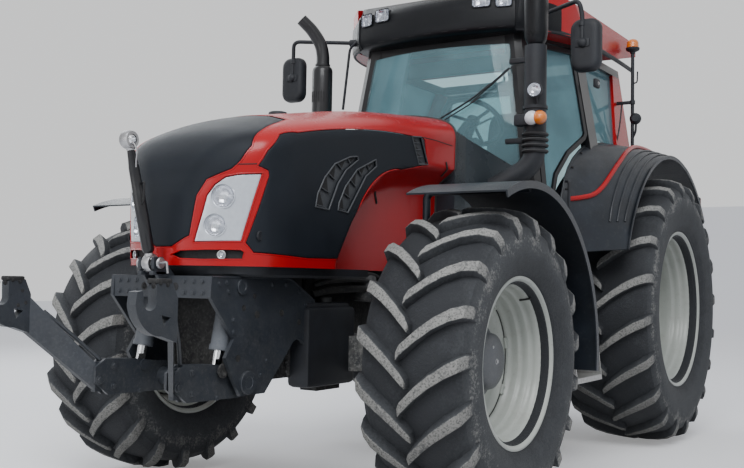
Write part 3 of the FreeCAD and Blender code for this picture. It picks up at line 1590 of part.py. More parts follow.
def seat(name, *others):
    """Cuts a node back to where it meets other nodes of its body."""
    solids = cut(NODES[name], *[NODES[other] for other in others]).Solids
    solids = [solid for solid in solids if solid.Volume > 2000.0]
    NODES[name] = solids[0] if len(solids) == 1 else Part.makeCompound(solids)


def add_pair(name, left_shape, body=None):
    for side, shape in (("left", left_shape), ("right", mirror(left_shape))):
        add("%s_%s" % (name, side), shape, "%s_%s" % (body, side) if body else "chassis")


def add_running_gear():
    add("engine", engine())
    gear_case = transmission()
    bore = rod((0, rear_face_y - pto_depth - 1, pto_z), (0, rear_face_y + 5, pto_z),
               pto_journal_radius + running_clearance)
    add("transmission", fuse(cut(gear_case, bore), rear_axles()))
    add("front_support", fuse(front_support(), cooling_pack(), front_boxes()))
    add("front_axle_beam", axle_beam(), "axle")
    add_pair("knuckle", knuckle(), "knuckle")
    add_pair("front_fender", front_fender(), "knuckle")
    for kind, shape in front_wheel().items():
        add_pair("front_%s" % kind, shape, "wheel_front")
    for kind, shape in rear_wheel().items():
        add_pair("rear_%s" % kind, shape, "wheel_rear")


def add_hood():
    for name, shape in hood_parts().items():
        add(name, shape, "hood")
    add("cowl", cowl())


def add_cab():
    crown_radius = rear_fender_radius + rear_fender_thickness
    arches = both(rod((arch_wall_x, 0, rear_axle_z), (1200, 0, rear_axle_z), crown_radius))
    add("cab_frame", cut(cab_frame(), arches))
    add("rear_posts", cut(both(c_pillar()), arches))
    pedestal, cushion, back = seat_parts()
    add("cab_floor", cut(fuse(cab_floor(), pedestal, side_console()), arches))
    add("fixed_glass", Part.makeCompound([windscreen()] + both(quarter_glass()).Solids))
    shell, visor = roof_parts()
    add("roof", shell)
    add("roof_visor", visor)
    add_pair("door_frame", door_frame(), "door")
    add_pair("door_glass", door_glass(), "door")
    window_frame, window_glass = rear_window()
    add("rear_window_frame", window_frame, "rear_window")
    add("rear_window_glass", window_glass, "rear_window")
    add("rear_fenders", both(rear_fender()))
    add("fender_mouldings", both(fender_moulding()))
    add("seat_cushion", cushion)
    add("seat_back", back)
    add("dashboard", fuse(steering_column(), dashboard()))
    add("steering_wheel", steering_wheel(), "steering_wheel")


def add_outside():
    add("exhaust", exhaust())
    add("intake_duct", intake_duct())
    add("mirrors", both(cut(mirror_assembly(), roof(), intake_duct())))
    add("lamp_post", lamp_post())
    add("side_tanks", both(fuse(tank(), *tank_straps())))
    add("steps", both(steps()))
    add("lamps", Part.makeCompound(lamps()))


def add_front_linkage():
    add("linkage_frame", cut(linkage_frame(), front_boxes()))
    add("lift_arms", lift_arms(), "front_arms")
    add("hook_links", both(hook_link()), "front_arms")
    barrel, bar = lift_cylinder()
    add("lift_barrels", both(barrel), "front_barrels")
    add("lift_bars", both(bar), "front_bars")
    add("front_top_link", front_top_link(), "front_top_link")


def add_rear_linkage():
    add("hitch_frame", Part.makeCompound(
        [hitch_frame(), pto_guard()] + link_pins().Solids))
    add("drawbar", drawbar_frame())
    add("pto_shaft", pto_shaft(), "pto")
    add("rocker_arms", rocker_arms(), "rear_arms")
    add_pair("lift_rod_rear", lift_rod(), "rear_rod")
    add_pair("lower_link", lower_link(), "rear_link")
    add("rear_top_link", rear_top_link(), "rear_top_link")


add_running_gear()
add_hood()
add_cab()
add_outside()
add_front_linkage()
add_rear_linkage()
for fitted in (
        ("front_fender_left", "knuckle_left"), ("front_fender_right", "knuckle_right"),
        ("front_support", "engine", "linkage_frame"),
        ("rear_posts", "cab_frame"), ("cab_floor", "cab_frame"),
        ("rear_fenders", "cab_frame", "rear_posts", "cab_floor"),
        ("cowl", "cab_frame", "cab_floor", "side_tanks"),
        ("fixed_glass", "cab_frame", "rear_posts", "rear_fenders", "cowl"),
        ("fender_mouldings", "rear_fenders"), ("dashboard", "cab_frame", "cab_floor"),
        ("exhaust", "cowl"), ("intake_duct", "cowl", "cab_frame"),
        ("lamp_post", "rear_fenders", "rear_posts"),
        ("lamps", "rear_fenders", "roof_visor", "intake_duct"),
        ("steps", "side_tanks"), ("hook_links", "lift_arms"),
        ("door_glass_left", "door_frame_left"), ("door_glass_right", "door_frame_right"),
        ("rear_window_glass", "rear_window_frame")):
    seat(*fitted)

# The origin goes under the middle of the box, between the hooks and the link balls
front_end_y = hook_y - 70.0
rear_end_y = link_ball_y + link_ball_radius
origin_y = (front_end_y + rear_end_y) / 2

os.makedirs("parts", exist_ok=True)
for name, shape in NODES.items():
    placed = shape.copy()
    placed.translate(V(0, -origin_y, 0))
    placed.exportStep("parts/%s.step" % name)
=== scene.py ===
import bisect
import bmesh
import bpy
import math
import random

from mathutils import Matrix, Vector

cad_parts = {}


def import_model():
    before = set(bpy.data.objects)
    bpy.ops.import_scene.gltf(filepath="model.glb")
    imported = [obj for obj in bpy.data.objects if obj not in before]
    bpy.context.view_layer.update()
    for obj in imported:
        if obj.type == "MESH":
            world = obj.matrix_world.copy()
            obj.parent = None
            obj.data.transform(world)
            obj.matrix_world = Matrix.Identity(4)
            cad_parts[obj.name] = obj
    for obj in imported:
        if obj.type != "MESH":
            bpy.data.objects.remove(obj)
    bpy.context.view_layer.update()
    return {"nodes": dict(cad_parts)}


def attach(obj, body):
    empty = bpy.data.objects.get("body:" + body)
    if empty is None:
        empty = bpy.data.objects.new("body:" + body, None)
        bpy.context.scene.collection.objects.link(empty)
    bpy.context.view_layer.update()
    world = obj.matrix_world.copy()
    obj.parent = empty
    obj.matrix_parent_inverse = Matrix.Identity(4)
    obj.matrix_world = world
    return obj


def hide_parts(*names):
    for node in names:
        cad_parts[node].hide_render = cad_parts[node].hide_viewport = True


# Looks of a farm tractor. Shapes are drawn in the drawing's millimetres, with the rear
# axle at y = 0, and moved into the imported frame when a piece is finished.
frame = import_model()
NODE = frame["nodes"]
SHIFT = 1626.5
FRONT_Y = -2748.0
NOSE_Y = FRONT_Y - 1017.0
chance = random.Random(11)
UP, OUT, AHEAD = (0, 0, 1), (1, 0, 0), (0, -1, 0)


# Materials

class Look:
    """A procedural material in object space: colour layers, roughness and relief."""

    def __init__(self, name, colour, rough=0.5, metal=0.0, **sockets):
        self.material = bpy.data.materials.new(name)
        self.material.use_nodes = True
        self.tree = self.material.node_tree
        self.shader = self.tree.nodes["Principled BSDF"]
        self.colour = (*colour, 1.0)
        self.rough = rough
        self.normal = None
        self.shader.inputs["Metallic"].default_value = metal
        for key, value in sockets.items():
            self.shader.inputs[key.replace("_", " ")].default_value = value
        self.where = self.tree.nodes.new("ShaderNodeTexCoord").outputs["Object"]

    def put(self, socket, value):
        if isinstance(value, bpy.types.NodeSocket):
            self.tree.links.new(value, socket)
        else:
            socket.default_value = value

    def node(self, kind, output, **inputs):
        made = self.tree.nodes.new(kind)
        for key, value in inputs.items():
            self.put(made.inputs[key.replace("_", " ")], value)
        return made.outputs[output]

    def ramp(self, value, low, high):
        return self.node("ShaderNodeMapRange", "Result", Value=value, From_Min=low,
                         From_Max=high)

    def noise(self, scale, low=0.4, high=0.6, detail=4.0, rough=0.6):
        place = self.node("ShaderNodeMapping", "Vector", Vector=self.where)
        value = self.node("ShaderNodeTexNoise", "Fac", Vector=place, Scale=scale,
                          Detail=detail, Roughness=rough)
        return self.ramp(value, low, high)

    def cells(self, scale, low, high):
        value = self.node("ShaderNodeTexVoronoi", "Distance", Vector=self.where, Scale=scale)
        return self.ramp(value, low, high)

    def height(self, low, high):
        split = self.node("ShaderNodeSeparateXYZ", "Z", Vector=self.where)
        return self.ramp(split, low, high)

    def upward(self, low=0.3, high=0.95):
        geometry = self.tree.nodes.new("ShaderNodeNewGeometry").outputs["Normal"]
        return self.ramp(self.node("ShaderNodeSeparateXYZ", "Z", Vector=geometry), low, high)

    def attribute(self, name):
        made = self.tree.nodes.new("ShaderNodeAttribute")
        made.attribute_name = name
        return made.outputs["Fac"]

    def calc(self, kind, a, b=0.0):
        made = self.tree.nodes.new("ShaderNodeMath")
        made.operation = kind
        made.use_clamp = True
        self.put(made.inputs[0], a)
        self.put(made.inputs[1], b)
        return made.outputs[0]

    def mix(self, kind, factor, a, b):
        made = self.tree.nodes.new("ShaderNodeMix")
        made.data_type = kind
        first, second, out = (6, 7, 2) if kind == "RGBA" else (2, 3, 0)
        self.put(made.inputs[0], factor)
        self.put(made.inputs[first], a)
        self.put(made.inputs[second], b)
        return made.outputs[out]

    def layer(self, factor, colour=None, rough=None, amount=1.0):
        if amount < 1.0:
            factor = self.calc("MULTIPLY", factor, amount)
        if colour:
            self.colour = self.mix("RGBA", factor, self.colour, (*colour, 1.0))
        if rough is not None:
            self.rough = self.mix("FLOAT", factor, self.rough, rough)
        return self

    def relief(self, value, distance, strength=1.0):
        made = self.tree.nodes.new("ShaderNodeBump")
        made.inputs["Strength"].default_value = strength
        made.inputs["Distance"].default_value = distance
        self.tree.links.new(value, made.inputs["Height"])
        if self.normal:
            self.tree.links.new(self.normal, made.inputs["Normal"])
        self.normal = made.outputs["Normal"]
        return self

    def done(self):
        self.put(self.shader.inputs["Base Color"], self.colour)
        self.put(self.shader.inputs["Roughness"], self.rough)
        if self.normal:
            self.put(self.shader.inputs["Normal"], self.normal)
        return self.material


MUD_PALE = (0.33, 0.325, 0.305)
MUD_MID = (0.19, 0.185, 0.17)
DUST = (0.26, 0.255, 0.24)


def paint(name, colour, rough, coat, dusty):
    look = Look(name, colour, rough, Coat_Weight=coat, Coat_Roughness=0.06,
                Specular_IOR_Level=0.32)
    look.layer(look.noise(2.3, 0.35, 0.7, 3), tuple(c * 0.75 for c in colour), amount=0.5)
    dust = look.calc("MULTIPLY", look.noise(9, 0.42, 0.75, 8), look.upward(0.1, 0.9))
    look.layer(dust, DUST, 0.7, dusty)
    look.relief(look.noise(340, 0.3, 0.7, 2), 0.0004, 0.25)
    return look.done()


def plastic(name, colour, rough, grain=700, dusty=0.25, worn=(1.9, 2.1, 2.3), sheen=0.5):
    look = Look(name, colour, rough, Specular_IOR_Level=sheen)
    pale = tuple(min(1.0, c * w + 0.004) for c, w in zip(colour, worn))
    look.layer(look.noise(5, 0.38, 0.72, 6), pale, rough + 0.12, 0.55)
    look.layer(look.noise(38, 0.55, 0.8, 5), DUST, 0.75, dusty * 0.5)
    look.layer(look.calc("MULTIPLY", look.noise(7, 0.4, 0.7, 8), look.upward(0.2, 1.0)), DUST,
               0.8, dusty)
    look.relief(look.cells(grain, 0.0, 0.8), 0.0006, 0.5)
    return look.done()


def iron(name, colour, rough, muddy):
    look = Look(name, colour, rough)
    look.layer(look.noise(6, 0.35, 0.7, 6), tuple(c * 1.7 for c in colour), rough + 0.1, 0.6)
    look.layer(look.noise(90, 0.62, 0.7, 6), tuple(c * 0.4 for c in colour), 0.7, 0.5)
    low = look.calc("SUBTRACT", 1.0, look.height(0.45, 1.25))
    clumps = look.calc("MULTIPLY", look.noise(14, 0.42, 0.62, 10, rough=0.7), low)
    look.layer(clumps, MUD_MID, 0.9, muddy * 1.6)
    look.layer(look.calc("MULTIPLY", look.noise(70, 0.5, 0.62, 8), low), MUD_PALE, 0.9, muddy)
    look.relief(look.noise(240, 0.3, 0.7, 6), 0.0015, 0.35)
    return look.done()


def tyre_look():
    look = Look("tyre_rubber", (0.016, 0.018, 0.022), 0.72)
    # The per-point attribute read here is partly dried mud and partly painted light and shade. It
    # is high on the lug tops and casing shoulders, which turn paler, and low down the lug walls
    # and in the grooves, which stay dark.
    mud_and_shade = look.attribute("mud_and_shade")
    big = look.noise(9, 0.25, 0.75, 8, rough=0.65)
    fine = look.noise(85, 0.2, 0.8, 10, rough=0.72)
    speck = look.noise(120, 0.25, 0.75, 6, rough=0.7)
    mixed = look.calc("ADD", look.calc("MULTIPLY", big, 0.2), look.calc("MULTIPLY", fine, 0.3))
    mixed = look.calc("ADD", mixed, look.calc("MULTIPLY", mud_and_shade, 0.5))
    look.layer(look.ramp(mixed, 0.36, 0.58), (0.060, 0.064, 0.069), 0.85)
    cake = look.ramp(mixed, 0.60, 0.72)
    look.layer(cake, MUD_PALE, 0.95)
    dark = look.calc("MULTIPLY", cake, look.ramp(speck, 0.5, 0.72))
    look.layer(dark, (0.060, 0.061, 0.062), 0.95, 0.8)
    look.relief(fine, 0.006, 0.55)
    look.relief(speck, 0.003, 0.5)
    return look.done()


def rim_look():
    look = Look("rim_enamel", (0.54, 0.56, 0.51), 0.38, Coat_Weight=0.2, Coat_Roughness=0.2)
    look.layer(look.noise(3.2, 0.35, 0.7, 5), (0.44, 0.47, 0.43), amount=0.6)
    look.layer(look.noise(120, 0.66, 0.72, 6), (0.10, 0.09, 0.07), 0.8, 0.8)
    look.layer(look.noise(16, 0.52, 0.78, 9, rough=0.7), (0.34, 0.33, 0.29), 0.7, 0.45)
    look.relief(look.noise(300, 0.3, 0.7, 3), 0.0005, 0.3)
    return look.done()


def glass_look(name, tint, body, cover):
    """Tinted sheet glass: it lets lamps through, and its edges and far angles mirror."""
    look = Look(name, body, 0.03, Specular_IOR_Level=0.6)
    look.layer(look.noise(6, 0.45, 0.75, 6), tuple(min(1, c * 1.5 + 0.02) for c in body),
               0.06, 0.4)
    material = look.done()
    tree = look.tree
    clear = tree.nodes.new("ShaderNodeBsdfTransparent")
    clear.inputs["Color"].default_value = (*tint, 1.0)
    weight = tree.nodes.new("ShaderNodeLayerWeight")
    weight.inputs["Blend"].default_value = 0.32
    share = look.ramp(weight.outputs["Fresnel"], 0.0, 1.0)
    low, high = cover
    share = look.mix("FLOAT", share, low, high)
    mixer = tree.nodes.new("ShaderNodeMixShader")
    tree.links.new(share, mixer.inputs[0])
    tree.links.new(clear.outputs[0], mixer.inputs[1])
    tree.links.new(look.shader.outputs[0], mixer.inputs[2])
    out = tree.nodes["Material Output"]
    tree.links.new(mixer.outputs[0], out.inputs["Surface"])
    return material


def metal_look(name, colour, rough, scratch=0.4):
    look = Look(name, colour, rough, 1.0)
    look.layer(look.noise(55, 0.35, 0.7, 6), tuple(c * 0.6 for c in colour),
               min(1.0, rough + 0.2), scratch)
    look.layer(look.noise(12, 0.55, 0.75, 8), (0.12, 0.11, 0.10), 0.7, scratch * 0.6)
    look.relief(look.noise(400, 0.3, 0.7, 4), 0.0005, 0.3)
    return look.done()


def cloth_look(name, colour):
    look = Look(name, colour, 0.9, Sheen_Weight=0.25)
    wave = look.noise(900, 0.3, 0.7, 2)
    look.layer(wave, tuple(c * 1.9 for c in colour), amount=0.6)
    look.layer(look.noise(7, 0.4, 0.7, 5), tuple(c * 0.6 for c in colour), amount=0.5)
    look.relief(wave, 0.0012, 0.7)
    return look.done()


def lamp_look(name, colour, rough, metal=0.0, ribs=0.0, **sockets):
    look = Look(name, colour, rough, metal, **sockets)
    look.layer(look.noise(60, 0.4, 0.7, 4), tuple(c * 0.8 for c in colour), amount=0.4)
    if ribs:
        look.relief(look.cells(ribs, 0.0, 0.7), 0.002, 0.5)
    return look.done()


RED = paint("red_enamel", (0.47, 0.004, 0.008), 0.27, coat=0.08, dusty=0.02)
BLACK_PAINT = paint("black_enamel", (0.011, 0.011, 0.013), 0.34, coat=0.2, dusty=0.1)
SATIN = plastic("satin_panel", (0.009, 0.012, 0.017), 0.46, dusty=0.02, worn=(1.4, 1.4, 1.4),
                sheen=0.18)
FENDER = plastic("fender_plastic", (0.010, 0.013, 0.018), 0.34, dusty=0.16, sheen=0.4)
TRIM = plastic("trim_plastic", (0.012, 0.013, 0.016), 0.5, dusty=0.07, sheen=0.35)
COWL = plastic("cowl_plastic", (0.016, 0.024, 0.030), 0.24, dusty=0.03, worn=(1.3, 1.3, 1.3))
VISOR = plastic("visor_plastic", (0.005, 0.006, 0.008), 0.3, dusty=0.01, worn=(1.2, 1.2, 1.2),
                sheen=0.2)
INSIDE = plastic("cab_plastic", (0.050, 0.052, 0.055), 0.65, grain=900, dusty=0.1)
RUBBER = plastic("hose_rubber", (0.012, 0.012, 0.013), 0.6, grain=500, dusty=0.25)
SLATE = iron("slate_paint", (0.019, 0.023, 0.030), 0.44, muddy=0.07)
SLATE_PALE = iron("slate_pale", (0.085, 0.094, 0.108), 0.45, muddy=0.07)
CASTING = iron("casting_paint", (0.026, 0.028, 0.032), 0.62, muddy=0.6)
# Near-black iron for dark parts. It is also used as painted shade in holes, louvre openings and
# the front rims' gap.
DEEP = iron("deep_black", (0.005, 0.005, 0.006), 0.75, muddy=0.18)
TYRE = tyre_look()
LOUVRE = plastic("louvre_plastic", (0.050, 0.054, 0.060), 0.42, dusty=0.03, worn=(1.3, 1.3, 1.3),
                 sheen=0.4)
RIM = rim_look()
HUB = iron("hub_paint", (0.085, 0.090, 0.098), 0.4, muddy=0.15)
GLASS = glass_look("cab_tinted_glass", (0.80, 0.96, 0.98), (0.26, 0.42, 0.46), (0.24, 0.9))
CLEAR = glass_look("lamp_cover", (0.97, 0.98, 1.0), (0.3, 0.31, 0.33), (0.04, 0.5))
STEEL = metal_look("worn_steel", (0.42, 0.42, 0.43), 0.36)
CHROME = metal_look("chrome_rod", (0.75, 0.76, 0.78), 0.12, 0.15)
MIRROR = metal_look("reflector", (0.86, 0.87, 0.90), 0.08, 0.1)
ZINC = metal_look("zinc_step", (0.48, 0.48, 0.47), 0.45, 0.5)
SILVER = lamp_look("lamp_field", (0.62, 0.66, 0.72), 0.25, 0.25, Coat_Weight=0.5)
BULB = lamp_look("lamp_glass", (0.80, 0.82, 0.84), 0.08, ribs=160, Coat_Weight=0.6)
AMBER = lamp_look("amber_lens", (0.85, 0.22, 0.015), 0.15, ribs=260, Coat_Weight=0.6)
RED_LENS = lamp_look("red_lens", (0.45, 0.008, 0.008), 0.15, ribs=260, Coat_Weight=0.6)
CLOTH = cloth_look("seat_weave", (0.030, 0.031, 0.036))
# A near-black for shut lines, also used as painted shade inside slots.
SEAM_AND_SLOT_SHADE = Look("shut_line_and_slot_shade", (0.006, 0.006, 0.007), 0.8)
SEAM_AND_SLOT_SHADE.layer(SEAM_AND_SLOT_SHADE.noise(50), (0.02, 0.02, 0.02))
SEAM_AND_SLOT_SHADE = SEAM_AND_SLOT_SHADE.done()


# Mesh parts: each is a list of points and a list of faces, in the drawing's millimetres

def inset(corners, width):
    """A polygon with each side moved inwards; the corners run anticlockwise."""
    moved = []
    count = len(corners)
    for index in range(count):
        before, here, after = corners[index - 1], corners[index], corners[(index + 1) % count]
        lines = []
        for start, end in ((before, here), (here, after)):
            dy, dz = end[0] - start[0], end[1] - start[1]
            length = math.hypot(dy, dz) or 1.0
            normal = (-dz / length, dy / length)
            lines.append((normal, normal[0] * start[0] + normal[1] * start[1] + width))
        (a1, b1), c1 = lines[0]
        (a2, b2), c2 = lines[1]
        det = a1 * b2 - a2 * b1
        if abs(det) < 0.05:
            moved.append((here[0] + a1 * width, here[1] + b1 * width))
        else:
            moved.append(((c1 * b2 - c2 * b1) / det, (a1 * c2 - a2 * c1) / det))
    return moved


def trace(steps, count=8):
    """Points of an outline whose steps are corners or (via, end) arcs, anticlockwise."""
    points = [steps[0]]
    for step in steps[1:]:
        if isinstance(step[0], tuple):
            (x1, y1), (x2, y2), (x3, y3) = points[-1], step[0], step[1]
            det = 2 * (x1 * (y2 - y3) + x2 * (y3 - y1) + x3 * (y1 - y2))
            s1, s2, s3 = x1 * x1 + y1 * y1, x2 * x2 + y2 * y2, x3 * x3 + y3 * y3
            cx = (s1 * (y2 - y3) + s2 * (y3 - y1) + s3 * (y1 - y2)) / det
            cy = (s1 * (x3 - x2) + s2 * (x1 - x3) + s3 * (x2 - x1)) / det
            radius = math.hypot(x1 - cx, y1 - cy)
            a1, a2, a3 = (math.atan2(y - cy, x - cx) for x, y in ((x1, y1), (x2, y2), (x3, y3)))
            turn = (a3 - a1) % math.tau
            if (a2 - a1) % math.tau > turn:
                turn -= math.tau
            for i in range(1, count + 1):
                a = a1 + turn * i / count
                points.append((cx + radius * math.cos(a), cy + radius * math.sin(a)))
        else:
            points.append(step)
    if math.dist(points[0], points[-1]) < 1e-6:
        points.pop()
    area = sum(a[0] * b[1] - b[0] * a[1] for a, b in zip(points, points[1:] + points[:1]))
    return points if area > 0 else points[::-1]


def grid(rows, around=False, along=False):
    """Quads over rows of points; around joins each row's ends, along the first and last row."""
    count = len(rows[0])
    points = [p for row in rows for p in row]
    faces = []
    for i in range(len(rows) if along else len(rows) - 1):
        j = (i + 1) % len(rows)
        for k in range(count if around else count - 1):
            m = (k + 1) % count
            faces.append((i * count + k, i * count + m, j * count + m, j * count + k))
    return points, faces


def shell(rings):
    """Closed rings of points joined to each other, with a face over each end."""
    points, faces = grid(rings, around=True)
    count = len(rings[0])
    faces.append(tuple(range(count))[::-1])
    faces.append(tuple(range(len(points) - count, len(points))))
    return points, faces


def lathe(profile, centre, axis=(1, 0, 0), segments=40, closed=False):
    """An (offset, radius) line turned about an axis; a radius of 0 ends it in a point."""
    n = Vector(axis).normalized()
    u = n.orthogonal().normalized()
    v = n.cross(u)
    c = Vector(centre)
    points, rings, faces = [], [], []
    for a, r in profile:
        if r < 1e-6:
            rings.append([len(points)])
            points.append(c + n * a)
            continue
        rings.append(list(range(len(points), len(points) + segments)))
        for k in range(segments):
            t = math.tau * k / segments
            points.append(c + n * a + (u * math.cos(t) + v * math.sin(t)) * r)
    pairs = list(zip(rings, rings[1:])) + ([(rings[-1], rings[0])] if closed else [])
    for one, two in pairs:
        for k in range(segments):
            m = (k + 1) % segments
            if len(one) == 1 and len(two) > 1:
                faces.append((one[0], two[k], two[m]))
            elif len(two) == 1 and len(one) > 1:
                faces.append((one[k], two[0], one[m]))
            elif len(one) > 1:
                faces.append((one[k], one[m], two[m], two[k]))
    return points, faces


def rod(start, end, radius, chamfer=2.0):
    a, b = Vector(start), Vector(end)
    length = (b - a).length
    c = min(chamfer, radius * 0.5, length * 0.3)
    profile = [(0, 0), (0, radius - c), (c, radius), (length - c, radius), (length, radius - c),
               (length, 0)]
    return lathe(profile, a, b - a, 20)


def bolt(place, axis, size=12.0):
    """A hexagon head on its washer."""
    head = lathe([(0, 0), (0, size * 0.9), (size * 0.62, size * 0.9), (size * 0.7, size * 0.8),
                  (size * 0.7, 0)], place, axis, 6)
    washer = lathe([(0, size * 1.3), (size * 0.14, size * 1.3), (size * 0.2, size * 1.2),
                    (size * 0.2, 0)], place, axis, 18)
    return merge(head, washer)


def merge(*parts):
    points, faces = [], []
    for more, joined in parts:
        base = len(points)
        points.extend(more)
        faces.extend(tuple(base + i for i in f) for f in joined)
    return points, faces


def rounded(points, bend, count=5):
    """A polyline with its corners rounded."""
    corners = [Vector(p) for p in points]
    line = [corners[0]]
    for before, corner, after in zip(corners, corners[1:], corners[2:]):
        back, on = before - corner, after - corner
        start = corner + back.normalized() * min(bend, back.length * 0.48)
        end = corner + on.normalized() * min(bend, on.length * 0.48)
        for i in range(count + 1):
            t = i / count
            line.append(start * (1 - t) ** 2 + corner * 2 * t * (1 - t) + end * t * t)
    return line + [corners[-1]]


def smooth_line(points, count=8):
    """A smooth line through points."""
    p = [Vector(q) for q in points]
    p = [p[0] * 2 - p[1]] + p + [p[-1] * 2 - p[-2]]
    line = []
    for a, b, c, d in zip(p, p[1:], p[2:], p[3:]):
        for i in range(count):
            t = i / count
            line.append(0.5 * (b * 2 + (c - a) * t + (a * 2 - b * 5 + c * 4 - d) * t * t
                               + (b * 3 - a - c * 3 + d) * t ** 3))
    return line + [p[-2]]


def tube(points, radius, segments=12, flat=1.0, closed=False):
    """A round or flattened tube along a line of points."""
    line = [Vector(p) for p in points]
    rings = []
    side = None
    for i, here in enumerate(line):
        before = line[i - 1] if i or closed else here
        after = line[(i + 1) % len(line)] if i < len(line) - 1 or closed else here
        along = (after - before).normalized()
        if side is None:
            side = along.orthogonal().normalized()
            if abs(along.x) < 0.95:
                side = along.cross(Vector((1, 0, 0))).normalized()
        side = (side - along * side.dot(along)).normalized()
        up = along.cross(side)
        r = radius[i] if isinstance(radius, list) else radius
        rings.append([here + side * math.cos(t) * r * flat + up * math.sin(t) * r
                      for t in (math.tau * k / segments for k in range(segments))])
    if closed:
        return grid(rings, around=True, along=True)
    return shell(rings)


def block(low, high, bevel=4.0):
    """A box with rounded edges."""
    bm = bmesh.new()
    bmesh.ops.create_cube(bm, size=1.0)
    low, high = Vector(low), Vector(high)
    low, high = (Vector(map(min, low, high)), Vector(map(max, low, high)))
    bmesh.ops.scale(bm, vec=high - low, verts=bm.verts)
    bmesh.ops.translate(bm, vec=(low + high) / 2, verts=bm.verts)
    bevel = min([bevel] + [0.45 * d for d in (high - low)])
    if bevel > 0:
        bmesh.ops.bevel(bm, geom=bm.edges[:], offset=bevel, segments=2, profile=0.5,
                        affect="EDGES")
    bm.verts.index_update()
    points = [v.co.copy() for v in bm.verts]
    faces = [tuple(v.index for v in f.verts) for f in bm.faces]
    bm.free()
    return points, faces


ON_PLANE = {"x": lambda a, b, t: Vector((t, a, b)), "y": lambda a, b, t: Vector((a, t, b)),
            "z": lambda a, b, t: Vector((a, b, t))}


def plate(axis, low, high, steps, bevel=2.0):
    """An outline across an axis, swept from low to high, with its edges eased."""
    place = ON_PLANE[axis]
    outer = trace(steps)
    inner = inset(outer, bevel)
    b = min(bevel, (high - low) * 0.3)
    rings = [[place(p, q, t) for p, q in ring]
             for ring, t in ((inner, low), (outer, low + b), (outer, high - b), (inner, high))]
    return shell(rings)


def moved(part, matrix):
    points, faces = part
    return [matrix @ Vector(p) for p in points], faces


def mirrored(part):
    points, faces = part
    return [Vector((-p[0], p[1], p[2])) for p in points], [tuple(f)[::-1] for f in faces]


def packed(points):
    """The drawing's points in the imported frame's metres."""
    return [(p[0] / 1000, (p[1] + SHIFT) / 1000, p[2] / 1000) for p in points]


class Piece:
    """Mesh parts with their materials, made into one object that rides on a body."""

    def __init__(self, name):
        self.name = name
        self.points = []
        self.faces = []
        self.slots = []
        self.looks = []
        self.marks = []

    def add(self, part, look, mark=0.0, sides=(1,)):
        """Adds a part; sides (1, -1) adds its mirror image too."""
        if look not in self.looks:
            self.looks.append(look)
        for side in sides:
            points, faces = part if side > 0 else mirrored(part)
            base = len(self.points)
            self.points.extend(points)
            self.faces.extend(tuple(base + i for i in f) for f in faces)
            self.slots.extend([self.looks.index(look)] * len(faces))
            marks = mark if isinstance(mark, list) else [mark] * len(points)
            self.marks.extend(marks)
        return self

    def both(self, part, look):
        return self.add(part, look, sides=(1, -1))

    def done(self, body, slot, *nodes, angle=38, outward=True):
        mesh = bpy.data.meshes.new(self.name)
        mesh.from_pydata(packed(self.points), [], self.faces)
        mesh.polygons.foreach_set("material_index", self.slots)
        for look in self.looks:
            mesh.materials.append(look)
        if any(self.marks):
            layer = mesh.attributes.new("mud_and_shade", "FLOAT", "POINT")
            layer.data.foreach_set("value", self.marks)
        if outward:
            bm = bmesh.new()
            bm.from_mesh(mesh)
            bmesh.ops.recalc_face_normals(bm, faces=bm.faces)
            bm.to_mesh(mesh)
            bm.free()
        mesh.validate()
        mesh.shade_smooth()
        mesh.set_sharp_from_angle(angle=math.radians(angle))
        made = bpy.data.objects.new(self.name, mesh)
        bpy.context.scene.collection.objects.link(made)
        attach(made, body)
        if nodes:
            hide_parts(*nodes)
        return made


# Wheels

def profile_at(profile, share):
    """A point on an (x, r) line at a share of its length."""
    lengths = [math.dist(a, b) for a, b in zip(profile, profile[1:])]
    goal = share * sum(lengths)
    for (a, b), length in zip(zip(profile, profile[1:]), lengths):
        if goal <= length or b is profile[-1]:
            t = min(1.0, goal / length)
            return (a[0] + (b[0] - a[0]) * t, a[1] + (b[1] - a[1]) * t)
        goal -= length


